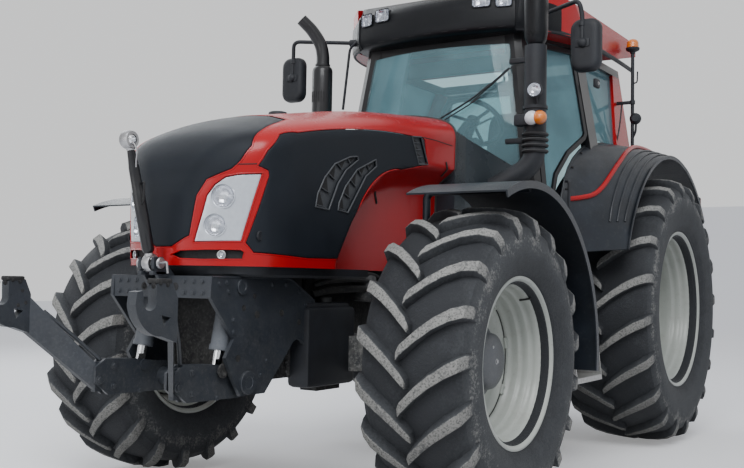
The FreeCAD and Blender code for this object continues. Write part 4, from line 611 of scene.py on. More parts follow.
def tyre(side, wheel, body, node):
    """A lugged tyre: a turned casing with staggered bars that wrap over the shoulders."""
    radius, half, bead, flange, seat, bars, sweep = wheel["tyre"]
    centre = Vector(wheel["hub"])
    centre.x *= side
    deep = 47.0  # height of the bars
    base = [(-22, radius - deep), (half * 0.45, radius - deep - 5),
            (half * 0.76, radius - deep - 22), (half * 0.90, radius - deep - 52),
            (half * 0.965, radius - deep - 98)]
    crest = [(-26, radius), (half * 0.45, radius - 7), (half * 0.84, radius - 27),
             (half * 0.955, radius - 62), (half * 0.985, radius - deep - 92)]
    lower = [(half * 0.995, radius - 185), (half * 0.985, radius - 225),
             (half * 0.93, flange + 52), (half * 0.86, flange + 22), (seat + 12, flange + 10),
             (seat + 3, flange + 3), (seat - 2, flange - 12), (seat - 8, bead + 2)]
    line = [(0, radius - deep)] + base[1:] + lower
    line = [p for p in line if p[0] <= half]
    # Attribute values across the casing are highest on the shoulders and lowest in the tread
    # grooves and at the bead. They are partly dried mud, partly painted light on the shoulders and
    # painted shade in the grooves.
    marks = [0.20, 0.20, 0.24, 0.42, 0.74, 0.66, 0.52, 0.42, 0.30, 0.2, 0.14, 0.1, 0.1]
    marks = marks[:len(line)]
    full = [(-a, r) for a, r in reversed(line)] + line[1:]
    shade = marks[::-1] + marks[1:]
    segments = 168  # of the casing, round the tyre
    rows = []
    for a, r in full:
        rows.append([centre + Vector((a, -r * math.cos(t), r * math.sin(t)))
                     for t in (math.tau * k / segments for k in range(segments))])
    piece = Piece(node + "_look")
    piece.add(grid(rows, around=True), TYRE, [s for s in shade for _ in range(segments)])
    inner = lathe([(-seat + 8, bead + 2), (-seat + 30, bead - 6), (seat - 30, bead - 6),
                   (seat - 8, bead + 2)], centre, OUT, 64)
    piece.add(inner, TYRE, 0.05)
    stations = (0.0, 0.06, 0.24, 0.42, 0.6, 0.76, 0.88, 0.96, 1.0)
    across = ((-1.0, -0.08), (-0.80, 0.86), (-0.70, 0.985), (-0.60, 1.0), (0.60, 1.0),
              (0.70, 0.985), (0.80, 0.86), (1.0, -0.08))
    # Per-point values across each bar are near 1 on its top and low at its feet: dried mud, with
    # painted light on the tops and painted shade down the walls.
    top_marks = (0.22, 0.50, 0.88, 0.98, 0.98, 0.88, 0.50, 0.22)
    pitch = math.tau / bars
    lowest = 0.75 * bars % 1.0
    for hand, phase in ((1, lowest), (-1, lowest + 0.5)):
        for index in range(bars):
            start = pitch * (index + phase) + chance.uniform(-0.003, 0.003)
            rings, mud_and_shade = [], []
            for s in stations:
                low_a, low_r = profile_at(base, s)
                top_a, top_r = profile_at(crest, s)
                wide = 30 + 14 * s
                if s == 0.0:
                    wide *= 0.8
                away = sweep * (1.0 - (1.0 - min(1.0, s / 0.95)) ** 1.6) / radius
                ring = []
                for (w, h), m in zip(across, top_marks):
                    a = low_a + (top_a - low_a) * h
                    r = low_r + (top_r - low_r) * h
                    if s in (0.0, 1.0) and h > 0.5:
                        r -= 7
                        a += -4 if s else 6
                    t = start + away + w * wide / radius
                    ring.append(centre + Vector((a * hand * side, -r * math.cos(t),
                                                 r * math.sin(t))))
                    mud_and_shade.append(m - (0.25 if s > 0.9 else 0.0) + chance.uniform(-0.06, 0.06))
                rings.append(ring)
            piece.add(shell(rings), TYRE, mud_and_shade)
    return piece.done(body, "tyre", node, angle=30)


# Each wheel's hub place; its tyre: radius, half width, bead, flange, bead seat, bars and sweep;
# its rim as (x, r) lines with their segments; its lugs, bolts and ring of hub bolts
WHEELS = {
    "front": dict(
        hub=(968.0, FRONT_Y, 700.0), tyre=(700.0, 260.0, 356.0, 384.0, 205.0, 19, 225.0),
        barrel=[(214, 380), (213, 374), (208, 368), (200, 364), (192, 358), (178, 354), (164, 351),
                (156, 346), (150, 341), (132, 339), (118, 336), (112, 330), (106, 326), (86, 325),
                (72, 322), (66, 316), (60, 313), (40, 312), (26, 309), (18, 303), (10, 299),
                (0, 298), (-30, 300), (-70, 310), (-120, 322), (-160, 348), (-190, 356),
                (-205, 366), (-213, 376), (-213, 385), (-205, 388), (-198, 362), (-160, 356),
                (-120, 332), (0, 306), (60, 320), (120, 346), (170, 358), (198, 368), (205, 387),
                (211, 387)],
        disc=[(2, 292), (2, 284), (-10, 276), (-18, 262), (-20, 240), (-8, 190), (6, 150),
              (10, 128), (0, 128), (-16, 150), (-30, 190), (-44, 262), (-34, 290)],
        gap=[(4, 298), (-6, 298), (-30, 292), (-30, 286), (4, 291)],
        dome=[(-62, 60), (-62, 130), (-8, 132), (-8, 178), (-2, 180), (4, 176), (6, 134),
              (52, 131), (74, 124), (88, 104), (95, 70), (98, 34), (98, 0)],
        turns=(96, 64), lug=((-26, -13, -5), (26, 13, 7), 4), lug_at=(0.3, 8, 293),
        bolts=(14, 294, 16, 8, RIM), ring=(-2, 165, 11, HUB)),
    "rear": dict(
        hub=(868.0, 0.0, 900.0), tyre=(900.0, 315.0, 492.0, 525.0, 255.0, 20, 225.0),
        barrel=[(264, 520), (263, 513), (257, 507), (248, 502), (238, 497), (220, 492), (204, 489),
                (196, 483), (190, 478), (168, 476), (150, 473), (142, 467), (136, 463), (110, 462),
                (92, 459), (84, 452), (78, 449), (40, 448), (10, 446), (-20, 440), (-44, 434),
                (-62, 430), (-72, 428), (-100, 434), (-150, 446), (-190, 478), (-225, 492),
                (-250, 502), (-262, 514), (-263, 525), (-254, 526), (-248, 508), (-210, 498),
                (-160, 470), (-72, 438), (40, 457), (110, 470), (150, 482), (204, 497),
                (238, 505), (252, 515), (257, 526), (262, 526)],
        disc=[(-72, 424), (-74, 410), (-90, 400), (-98, 380), (-96, 330), (-70, 250), (-54, 180),
              (-50, 118), (-62, 118), (-74, 180), (-92, 250), (-116, 340), (-116, 420)],
        gap=(),
        dome=[(-150, 60), (-150, 118), (-76, 120), (-76, 163), (-62, 165), (-60, 122), (10, 117),
              (28, 106), (38, 84), (40, 40), (40, 0)],
        turns=(112, 56), lug=((-46, -34, -8), (46, 20, 12), 6), lug_at=(0.5, -68, 420),
        bolts=(-56, 414, 22, 11, STEEL), ring=(-50, 150, 13, STEEL)),
}


def rim(side, wheel, body, node):
    """A turned rim and disc, held by bolted lugs, with a ring of bolts round its hub."""
    hub = Vector(wheel["hub"])
    hub.x *= side
    axis = Vector((side, 0, 0))
    piece = Piece(node + "_look")
    barrel_turns, dome_turns = wheel["turns"]
    piece.add(lathe(wheel["barrel"], hub, axis, barrel_turns, closed=True), RIM)
    piece.add(lathe(wheel["disc"], hub, axis, 96, closed=True), RIM)
    # The gap ring is a near-black solid filling the space between disc and barrel: painted shade.
    if wheel["gap"]:
        piece.add(lathe(wheel["gap"], hub, axis, 72, closed=True), DEEP)
    phase, lug_x, lug_r = wheel["lug_at"]
    bolt_x, bolt_r, apart, size, look = wheel["bolts"]
    for k in range(8):
        t = math.tau * (k + phase) / 8
        out = Vector((0, math.cos(t), math.sin(t)))
        across = Vector((0, -math.sin(t), math.cos(t)))
        for step in (-apart, apart):
            piece.add(bolt(hub + axis * bolt_x + out * bolt_r + across * step, axis, size), look)
        turn = Matrix((across, out, axis)).transposed().to_4x4()
        turn.translation = hub + axis * lug_x + out * lug_r
        piece.add(moved(block(*wheel["lug"]), turn), RIM)
    ring_x, ring_r, size, look = wheel["ring"]
    for k in range(10):
        t = math.tau * k / 10
        out = Vector((0, math.cos(t), math.sin(t)))
        piece.add(bolt(hub + axis * ring_x + out * ring_r, axis, size), look)
    piece.add(lathe(wheel["dome"], hub, axis, dome_turns), HUB)
    if wheel["gap"]:
        piece.add(bolt(hub + Vector((side * 90, -30, 66)), axis, 9), STEEL)
        piece.add(bolt(hub + axis * 96, axis, 11), STEEL)
        valve = [hub + Vector((side * x, y, z)) for x, y, z in ((120, 190, 275), (175, 196, 284))]
        piece.add(rod(*valve, 5), DEEP)
    return piece.done(body, "rim_paint", node)


for label, hand in (("left", 1), ("right", -1)):
    for kind, make in (("tyre", tyre), ("rim", rim)):
        for end, wheel in WHEELS.items():
            make(hand, wheel, "wheel_%s_%s" % (end, label), "%s_%s_%s" % (end, kind, label))


# Hood

# Distance behind the nose, half width, shoulder height, crown height
HOOD = ((0, 110, 1290, 1400), (22, 180, 1400, 1530), (60, 262, 1480, 1612),
        (121, 350, 1540, 1682), (205, 412, 1590, 1730), (330, 430, 1640, 1778),
        (765, 430, 1725, 1868), (1225, 430, 1790, 1948), (1795, 430, 1850, 2008))
HOOD_LOW = 1105.0
HOOD_LONG = 1795.0
CROWN = 2600.0  # the crown falls by the square of the distance from the middle over this
LEAN = 18  # the side stands this much further out at the shoulder than at its foot
WALL = 10.0
SCOOP = [(-3098, 1000), (-3083, 1150), (-2973, 1330), (-2868, 1465), (-2688, 1592),
         (-2500, 1640), (-2275, 1665), (-1848, 1690)]
SCOOP_DEEP, SCOOP_WIDE = 119.0, 118.0


def ease(column, back):
    """A smooth, never overshooting value of a hood column at a distance behind the nose."""
    xs = [row[0] for row in HOOD]
    ys = [row[column] for row in HOOD]
    if back <= 0:
        return ys[0]
    if back >= xs[-1]:
        return ys[-1]
    i = bisect.bisect_right(xs, back) - 1
    slopes = [(ys[k + 1] - ys[k]) / (xs[k + 1] - xs[k]) for k in range(len(xs) - 1)]

    def tangent(k):
        if k == 0:
            return slopes[0] * 1.2
        if k == len(xs) - 1:
            return slopes[-1]
        if slopes[k - 1] * slopes[k] <= 0:
            return 0.0
        w1 = 2 * (xs[k + 1] - xs[k]) + (xs[k] - xs[k - 1])
        w2 = (xs[k + 1] - xs[k]) + 2 * (xs[k] - xs[k - 1])
        return (w1 + w2) / (w1 / slopes[k - 1] + w2 / slopes[k])

    h = xs[i + 1] - xs[i]
    t = (back - xs[i]) / h
    return ((2 * t ** 3 - 3 * t * t + 1) * ys[i] + (t ** 3 - 2 * t * t + t) * h * tangent(i)
            + (3 * t * t - 2 * t ** 3) * ys[i + 1] + (t ** 3 - t * t) * h * tangent(i + 1))


def shoulder(width, low, crown):
    """The four Bezier points of the rounded shoulder between side and crown."""
    inner = 0.66 * width
    top = crown - inner * inner / CROWN
    slope = 2 * inner / CROWN
    reach = 0.62 * (width - inner)
    return ((width, low), (width, low + 0.62 * (top - low)), (inner + reach, top - slope * reach),
            (inner, top))


def bezier(points, t):
    a, b, c, d = points
    u = 1 - t
    return tuple(u ** 3 * a[i] + 3 * t * u * u * b[i] + 3 * t * t * u * c[i] + t ** 3 * d[i]
                 for i in (0, 1))


def hood_x(y, z):
    """Half width of the hood at a place on its side or shoulder."""
    back = y - NOSE_Y
    width, low, crown = ease(1, back), ease(2, back), ease(3, back)
    if z <= low:
        return width - LEAN + LEAN * max(0.0, (z - HOOD_LOW) / (low - HOOD_LOW))
    points = shoulder(width, low, crown)
    if z >= points[3][1]:
        return math.sqrt(max(0.0, (crown - z) * CROWN))
    first, last = 0.0, 1.0
    for _ in range(24):
        t = (first + last) / 2
        if bezier(points, t)[1] < z:
            first = t
        else:
            last = t
    return bezier(points, t)[0]


def nose_depth(x, z):
    """Distance behind the nose where the hood's front first reaches a place."""
    first, last = 0.0, HOOD_LONG
    x = abs(x)
    for _ in range(30):
        back = (first + last) / 2
        top = ease(3, back)
        if z < top and hood_x(NOSE_Y + back, z) > x:
            last = back
        else:
            first = back
    return last


def bulge(x, z):
    """How far the nose's middle stands forward of the flat front."""
    across = max(0.0, 1 - (x / 185) ** 2)
    up = max(0.0, 1 - ((z - 1260) / 230) ** 2)
    return 16 * across * up


def scoop_depth(y, z):
    """How far the flank is pressed in to leave room for a steered wheel."""
    best = 1e9
    for (y0, z0), (y1, z1) in zip(SCOOP, SCOOP[1:]):
        dy, dz = y1 - y0, z1 - z0
        t = max(0.0, min(1.0, ((y - y0) * dy + (z - z0) * dz) / (dy * dy + dz * dz)))
        best = min(best, math.hypot(y - y0 - dy * t, z - z0 - dz * t))
    edge = None
    for (y0, z0), (y1, z1) in zip(SCOOP, SCOOP[1:]):
        if y0 <= y <= y1:
            edge = z0 + (z1 - z0) * (y - y0) / (y1 - y0)
    if edge is None or z > edge:
        return 0.0
    t = min(1.0, best / SCOOP_WIDE)
    return SCOOP_DEEP * math.sin(t * math.pi / 2) ** 1.3


def on_flank(y, z, out=0.0):
    return Vector((hood_x(y, z) - scoop_depth(y, z) + out, y, z))


def on_nose(x, z, out=0.0):
    """A point on the nose; out is measured forward and, on the crown, up."""
    back = nose_depth(x, z)
    rise = min(1.0, back / 260.0)
    return Vector((x, NOSE_Y + back - bulge(x, z) - out * (1 - 0.7 * rise), z + out * rise))


def skin_rows(inward):
    """Rows of points over the whole hood, from its left foot over the crown to the right."""
    backs = [1.5, 4, 8, 13, 19, 26, 35, 46, 60, 76, 94, 114, 136, 160, 186, 214, 244, 276, 310,
             345]
    back = 345.0
    while back < HOOD_LONG:
        back = min(HOOD_LONG, back + 15.0)
        backs.append(back)
    rows = []
    for back in backs:
        width, low, crown = ease(1, back), ease(2, back), ease(3, back)
        points = shoulder(width, low, crown)
        half = []
        for i in range(44):
            z = HOOD_LOW + (low - HOOD_LOW) * i / 44
            half.append((width - LEAN + LEAN * i / 44, z))
        half += [bezier(points, i / 14) for i in range(14)]
        inner = points[3][0]
        half += [(inner * (1 - i / 12), crown - (inner * (1 - i / 12)) ** 2 / CROWN)
                 for i in range(13)]
        y = NOSE_Y + back
        row = []
        for x, z in half:
            x -= scoop_depth(y, z) if x > width * 0.8 else 0.0
            share = min(1.0, max(0.0, (z - low) / max(1.0, points[3][1] - low)))
            x = max(0.0, x - inward * (1 - share))
            row.append(Vector((x, y - (bulge(x, z) if back < 30 else 0.0), z - inward * share)))
        rows.append(row[:-1] + [Vector((-p.x, p.y, p.z)) for p in reversed(row)])
    front = [Vector((p.x * 0.6, p.y - 1 - 0.3 * bulge(p.x * 0.6, p.z), p.z)) for p in rows[0]]
    tip = [Vector((0, p.y - 1.2 - 0.4 * bulge(0, p.z), p.z)) for p in rows[0]]
    return [tip, front] + rows


def plain_object(name, part):
    mesh = bpy.data.meshes.new(name)
    points, faces = part
    mesh.from_pydata(packed(points), [], faces)
    bm = bmesh.new()
    bm.from_mesh(mesh)
    bmesh.ops.remove_doubles(bm, verts=bm.verts, dist=0.00002)
    bmesh.ops.recalc_face_normals(bm, faces=bm.faces)
    bm.to_mesh(mesh)
    bm.free()
    made = bpy.data.objects.new(name, mesh)
    bpy.context.scene.collection.objects.link(made)
    return made


def settle(made):
    """Applies an object's modifiers."""
    graph = bpy.context.evaluated_depsgraph_get()
    mesh = bpy.data.meshes.new_from_object(made.evaluated_get(graph))
    made.modifiers.clear()
    made.data = mesh
    return made


def carve(made, cutters):
    for cutter in cutters:
        step = made.modifiers.new("carve", "BOOLEAN")
        step.operation = "DIFFERENCE"
        step.solver = "EXACT"
        step.object = cutter
    bpy.context.view_layer.update()
    settle(made)
    for cutter in cutters:
        bpy.data.objects.remove(cutter)
    return made


def straight(axis, low, high, outline):
    """A sharp prism over an outline, to carve with."""
    place = ON_PLANE[axis]
    return shell([[place(a, b, t) for a, b in trace(outline)] for t in (low, high)])


NOSE_HALF = [(46, 1183), (133, 1230), (159, 1399), (196, 1465), (291, 1510), (320, 1545),
             (348, 1612)]
NOSE_PANEL = ([(0, 1183)] + NOSE_HALF + [(336, 1680), (322, 1740), (300, 1768), (180, 1800),
                                         (0, 1815)])
NOSE_PANEL = NOSE_PANEL + [(-x, z) for x, z in reversed(NOSE_PANEL[1:-1])]
LAMP_FIELD = [(148, 1203), (322, 1210), (384, 1496), (313, 1488), (267, 1477), (228, 1445),
              (197, 1400)]
SIDE_PANEL = [(-3618, 1525), (-3586, 1593), (-3513, 1671), ((-3473, 1684), (-3408, 1692)),
              ((-2930, 1773), (-2418, 1806)), (-2337, 1813), (-2311, 1798), (-2275, 1676),
              (-2526, 1622), ((-2828, 1509), (-2951, 1325)), (-3055, 1151), (-3311, 1147),
              (-3617, 1162), (-3643, 1203), (-3578, 1486), (-3582, 1508)]


def panel(outline, place, spacing=16.0, lift=0.0, rim=3.0, depth=9.0):
    """A skin panel over an outline, with an eased rim, laid on a curved surface."""
    outer = trace(outline, 14)
    rings = [(inset(outer, rim), 0.0), (inset(outer, rim * 0.35), -rim * 0.25), (outer, -rim),
             (outer, -depth)]
    bm = bmesh.new()
    made = [[bm.verts.new((a, b, h)) for a, b in ring] for ring, h in rings]
    bm.faces.new(made[0])
    bm.faces.new(made[-1][::-1])
    count = len(outer)
    for one, two in zip(made, made[1:]):
        for k in range(count):
            m = (k + 1) % count
            bm.faces.new((one[k], one[m], two[m], two[k]))
    for axis in (0, 1):
        values = [p[axis] for p in outer]
        at = math.floor(min(values) / spacing) * spacing + spacing
        normal = Vector(OUT) if axis == 0 else Vector((0, 1, 0))
        while at < max(values):
            bmesh.ops.bisect_plane(bm, geom=bm.verts[:] + bm.edges[:] + bm.faces[:],
                                   plane_co=normal * at, plane_no=normal, dist=1e-4)
            at += spacing
    bm.verts.index_update()
    points = [place(v.co.x, v.co.y, v.co.z + lift) for v in bm.verts]
    faces = [tuple(v.index for v in f.verts) for f in bm.faces]
    bm.free()
    return points, faces


def line_on(points, place, lift=0.0, closed=False):
    """Close points along a line drawn on a curved surface."""
    pairs = list(zip(points, points[1:] + ([points[0]] if closed else [])))
    line = []
    for (a0, b0), (a1, b1) in pairs:
        count = max(1, int(math.hypot(a1 - a0, b1 - b0) / 12))
        line += [place(a0 + (a1 - a0) * i / count, b0 + (b1 - b0) * i / count, lift)
                 for i in range(count)]
    return line if closed else line + [place(*points[-1], lift)]


def carved(part, *cutters):
    """A part with other parts cut out of it."""
    made = plain_object("carved", part)
    carve(made, [plain_object("cutter", cutter) for cutter in cutters])
    points = [Vector((v.co.x * 1000, v.co.y * 1000 - SHIFT, v.co.z * 1000))
              for v in made.data.vertices]
    faces = [tuple(f.vertices) for f in made.data.polygons]
    bpy.data.objects.remove(made)
    return points, faces


def facing(place, out):
    """A frame at a place: x across, y up and z along out."""
    n = Vector(out).normalized()
    across = Vector(UP).cross(n).normalized()
    made = Matrix((across, n.cross(across), n)).transposed().to_4x4()
    made.translation = Vector(place)
    return made


def oblong(wide, high, bend, count=4):
    """A rectangle with round corners, about the origin."""
    points = []
    for cx, cy, first in ((1, 1, 0), (-1, 1, 90), (-1, -1, 180), (1, -1, 270)):
        for i in range(count + 1):
            a = math.radians(first + 90 * i / count)
            points.append((cx * (wide / 2 - bend) + bend * math.cos(a),
                           cy * (high / 2 - bend) + bend * math.sin(a)))
    return points


def round_lamp(piece, place, out, radius, sides=(1,), bezel=None):
    """A bowl with its bulb behind a clear domed cover, in a slim ring."""
    r = radius
    for part, look in (
            (lathe([(2, r - 1), (-0.2 * r, 0.9 * r), (-0.5 * r, 0.6 * r), (-0.62 * r, 0.25 * r),
                    (-0.62 * r, 0)], place, out, 40), MIRROR),
            (lathe([(-0.6 * r, 0.2 * r), (-0.3 * r, 0.22 * r), (-0.14 * r, 0.16 * r),
                    (-0.08 * r, 0)], place, out, 20), BULB),
            (lathe([(1, r - 1), (0.08 * r, 0.8 * r), (0.14 * r, 0.45 * r), (0.16 * r, 0)],
                   place, out, 40), CLEAR),
            (lathe([(-3, r - 2), (-3, r + 4), (4, r + 4), (5, r + 1), (3, r - 2)], place, out, 40,
                   closed=True), bezel or SILVER)):
        piece.add(part, look, sides=sides)


# Each louvre's front line and rear line, from its foot up, and its number of teeth
LOUVRES = (
    ([(-3271, 1378), (-3259, 1436), (-3210, 1515), (-3135, 1584), (-3014, 1630), (-2951, 1639)],
     [(-3167, 1372), (-3102, 1497), (-3042, 1565), (-2944, 1624)], 5),
    ([(-3095, 1377), (-3089, 1408), (-3042, 1488), (-2951, 1576), (-2789, 1643)],
     [(-3014, 1368), (-2937, 1467), (-2871, 1553), (-2781, 1611)], 5),
    ([(-2370, 1665), (-2450, 1801)], [(-2275, 1676), (-2355, 1811)], 4))
LAMPS = (((259, 1396, 60), 48), ((229, 1274, 48), 46))
RECESS = [(40, 1150), (95, 1170), (200, 1175), (322, 1176), (334, 1165), (328, 1133), (180, 1129),
          (90, 1132)]


def louvre(piece, front, rear, teeth):
    """A dished floor in its opening, with dark saw teeth along the front line, painted shade
    standing in for the openings between the fins.
    """
    def at(t, share):
        a, b = profile_at(front, t), profile_at(rear, t)
        return (a[0] + (b[0] - a[0]) * share, a[1] + (b[1] - a[1]) * share)
    outline = trace(front + rear[::-1])
    piece.both(panel(outline, on_flank, 12.0, -10.0, 1.0, 5.0), LOUVRE)
    piece.both(tube(line_on(outline, on_flank, 1.0, closed=True), 4.2, 8, closed=True), LOUVRE)
    for k in range(teeth):
        low, high = (k + 0.12) / teeth, (k + 0.92) / teeth
        tooth = [at(low, 0.10), at(high, 0.10), at(low, 0.66)]
        # Each dark tooth is painted shade: a near-black sheet where the louvre's openings lie in
        # shadow.
        piece.both(panel(trace(tooth), on_flank, 12.0, -6.0, 1.5, 6.0), DEEP)
        edge = [at(low, 0.08), at(low, 0.45), at(low, 0.72)]
        piece.both(tube(line_on(edge, on_flank, -4.0), 3.6, 6), LOUVRE)


def hood_details():
    lamps = Piece("head_lamps_look")
    field = panel(inset(trace(LAMP_FIELD), 3.0), on_nose, 14.0, -1.5, 3.0, 12.0)
    holes, out = [], Vector((0.35, -0.93, 0.1)).normalized()
    for (x, z, back), radius in LAMPS:
        place = Vector((x, NOSE_Y + back, z))
        surface = on_nose(x, z)
        place += out * max(-12.0, (surface - place).dot(out) - 10.0)
        hole = [(-90, 0), (-90, radius + 2), (90, radius + 2), (90, 0)]
        holes.append(lathe(hole, place, out, 40))
        round_lamp(lamps, place, out, radius, (1, -1))
    lamps.both(carved(field, *holes), SILVER)
    lamps.done("hood", "lamp_shell", "head_lamps")

    small = Piece("hood_small_parts")
    small.both(panel(inset(trace(RECESS), -2.0), on_nose, 14.0, -24.0, 2.0, 4.0), DEEP)
    small.both(tube(line_on(inset(trace(RECESS), 1.0), on_nose, -1.0, closed=True), 3.0, 6,
                    closed=True), RED)
    round_lamp(small, on_nose(252, 1153, -8), (0.4, -0.92, 0), 15, (1, -1), STEEL)
    small.both(lathe([(-4, 21), (2, 21), (4, 18), (3, 15), (3, 0)], on_flank(-3598, 1233), OUT,
                     28), TRIM)
    # Near-black tubes laid along two slots in each flank: painted shade inside the slots.
    for slot in ([(-2604, 1508), (-2580, 1448)], [(-2074, 1711), (-2037, 1640)]):
        small.both(tube(line_on(slot, on_flank, 0.5), 6.5, 10), SEAM_AND_SLOT_SHADE)
    lens = Vector((-150, -2830, ease(3, 935) - 150 ** 2 / CROWN))
    cup = [(-6, 0), (-6, 50), (14, 50), (22, 46), (24, 40), (24, 38)]
    small.add(lathe(cup, lens, UP, 36), TRIM)
    small.add(lathe([(22, 39), (27, 28), (29, 0)], lens, UP, 36), BULB)
    small.done("hood", "dark_plastic")

    skirt = Piece("hood_skirt")
    path = []
    for back in (1000, 900, 700, 500, 360, 260, 190, 130, 90, 60, 42):
        path.append((hood_x(NOSE_Y + back, HOOD_LOW) - 34, NOSE_Y + back))
    path += [(-x, y) for x, y in reversed(path)]
    rings = [[Vector((x * k, y + h, z)) for k, h, z in
              ((1.0, 0, 1106), (0.99, 4, 1072), (0.93, 12, 1060), (0.93, 12, 1106))]
             for x, y in path]
    skirt.add(shell(rings), TRIM)
    last = skin_rows(0.0)[-1]
    skirt.add(tube([p + Vector((0, 9, 0)) for p in last[20:-20]], 9, 8), RUBBER)
    skirt.done("chassis", "dark_plastic")


def hood():
    rows = skin_rows(0.0)
    inner = [[Vector((p.x, p.y + (WALL if i < 12 else 0), p.z)) for p in row]
             for i, row in enumerate(skin_rows(WALL))]
    outer_part = grid(rows)
    inner_part = grid(inner)
    count = len(rows[0])
    base = len(outer_part[0])
    faces = outer_part[1] + [tuple(base + i for i in f)[::-1] for f in inner_part[1]]
    last = (len(rows) - 1) * count
    for k in range(count - 1):
        faces.append((last + k, last + k + 1, base + last + k + 1, base + last + k))
        faces.append((k + 1, k, base + k, base + k + 1))
    for i in range(len(rows) - 1):
        for k in (0, count - 1):
            a, b = i * count + k, (i + 1) * count + k
            faces.append((a, b, base + b, base + a))
    body = plain_object("hood_frame_look", (outer_part[0] + inner_part[0], faces))
    cutters = [plain_object("cut", straight("y", NOSE_Y - 60, NOSE_Y + 540, NOSE_PANEL))]
    for axis, low, high, outline in (("x", 325, 520, trace(SIDE_PANEL, 14)),
                                     ("y", NOSE_Y - 60, NOSE_Y + 250, LAMP_FIELD),
                                     ("y", NOSE_Y - 60, NOSE_Y + 200, RECESS)):
        cutter = straight(axis, low, high, outline)
        cutters += [plain_object("cut", cutter), plain_object("cut", mirrored(cutter))]
    carve(body, cutters)
    mesh = body.data
    mesh.materials.clear()
    mesh.materials.append(RED)
    mesh.polygons.foreach_set("material_index", [0] * len(mesh.polygons))
    mesh.shade_smooth()
    mesh.set_sharp_from_angle(angle=math.radians(40))
    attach(body, "hood")
    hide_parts("hood_frame")

    beads = Piece("hood_edges")
    for outline, place, sides in ((SIDE_PANEL, on_flank, (1, -1)), (LAMP_FIELD, on_nose, (1, -1)),
                                  (NOSE_PANEL, on_nose, (1,))):
        ring = line_on(inset(trace(outline, 14), -3.0), place, -2.0, closed=True)
        beads.add(tube(ring, 3.4, 6, closed=True), RED, sides=sides)
    seams = ([(-2337, 1813), (-2200, 1815), (-2008, 1809)], [(-3679, 1529), (-3621, 1534)])
    for seam in seams:
        beads.add(tube(line_on(seam, on_flank, -0.6), 2.6, 6), SEAM_AND_SLOT_SHADE, sides=(1, -1))
    beads.done("hood", "red_paint")

    panels = Piece("hood_panels_look")
    openings = [straight("x", 250, 520, front + rear[::-1]) for front, rear, _ in LOUVRES]
    panels.both(carved(panel(inset(trace(SIDE_PANEL, 14), 3.0), on_flank), *openings), SATIN)
    for row in LOUVRES:
        louvre(panels, *row)
    panels.add(panel(inset(trace(NOSE_PANEL), 3.0), on_nose, 14.0), SATIN)
    panels.done("hood", "dark_plastic", "hood_panels")


hood()
hood_details()


# Roof, lamps and mirrors

VISOR_LAMPS = ((353, 2760, 112), (489, 2752, 96))


def visor_front(x):
    """The visor's front line in plan."""
    return -1550 + 80 * (min(abs(x), 560) / 560) ** 2 + 0.02 * max(0.0, abs(x) - 560) ** 2


def roof_top(x, y):
    return min(2810 + 135 * (1 - ((y + 900) / 630) ** 2), 2780 + 230 * (1 - (x / 790) ** 2))


def visor_lamp_frame(x, z):
    slope = (visor_front(x + 1) - visor_front(x - 1)) / 2
    return facing((x, visor_front(x) + 1, z), (slope, -1, 0.02))


def visor():
    rows = []
    steps = [620, 617, 610, 598, 580] + list(range(540, 0, -40)) + [0]
    for x in steps + [-x for x in reversed(steps[:-1])]:
        y = visor_front(x)
        edge = 14 * max(0.0, (abs(x) - 598) / 22) ** 2
        row = [(-1181, 2571), (y + 70, 2571), (y + 30 + edge, 2573 + edge),
               (y + 12 + edge, 2584 + edge * 0.5), (y + 3 + edge, 2604), (y + edge * 0.8, 2640),
               (y + 1 + edge * 0.8, 2700), (y + 6 + edge, 2748), (y + 18 + edge, 2782),
               (y + 44 + edge, 2806 - edge * 0.5)]
        for k in range(6):
            back = y + 80 + (-1181 - y - 80) * k / 5
            row.append((back, roof_top(x, back) - 2))
        rows.append([Vector((x, a, b)) for a, b in row])
    holes = []
    for x, z, wide in VISOR_LAMPS:
        frame_at = visor_lamp_frame(x, z)
        hole = shell([[Vector((a, b, t)) for a, b in oblong(wide + 4, 80, 17)] for t in (-34, 40)])
        holes += [moved(hole, frame_at), mirrored(moved(hole, frame_at))]
    piece = Piece("roof_visor_look")
    piece.add(carved(shell(rows), *holes), VISOR)
    plan = [(560, -1473), (606, -1428), (655, -1380), (700, -1335), (729, -1283), (751, -1228)]
    wrap = []
    for i, (x, y) in enumerate(plan):
        before, after = plan[max(0, i - 1)], plan[min(len(plan) - 1, i + 1)]
        out = Vector((after[1] - before[1], before[0] - after[0], 0)).normalized()
        out = out if out.x > 0 else -out
        high = 2768 - 7 * i
        wrap.append([Vector((x, y, 0)) + out * o + Vector((0, 0, z)) for o, z in
                     ((-30, 2571), (-8, 2571), (1, 2582), (3, 2620), (3, high - 40), (0, high),
                      (-14, high + 10), (-40, high + 6))])
    piece.both(shell(wrap), VISOR)
    gutter = [(560, -1455), (700, -1316), (770, -1150), (797, -1000), (803, -780), (800, -300),
              (788, 40)]
    piece.both(tube(smooth_line([(x - 4, y, 2580) for x, y in gutter], 4), 12, 8, 1.3), TRIM)
    for k in range(9):
        x = -480 + 120 * k
        piece.add(tube([(x - 22, visor_front(x) + 2, 2592), (x + 22, visor_front(x) + 2, 2592)],
                       2.0, 6), SEAM_AND_SLOT_SHADE)
    piece.done("chassis", "dark_plastic", "roof_visor")


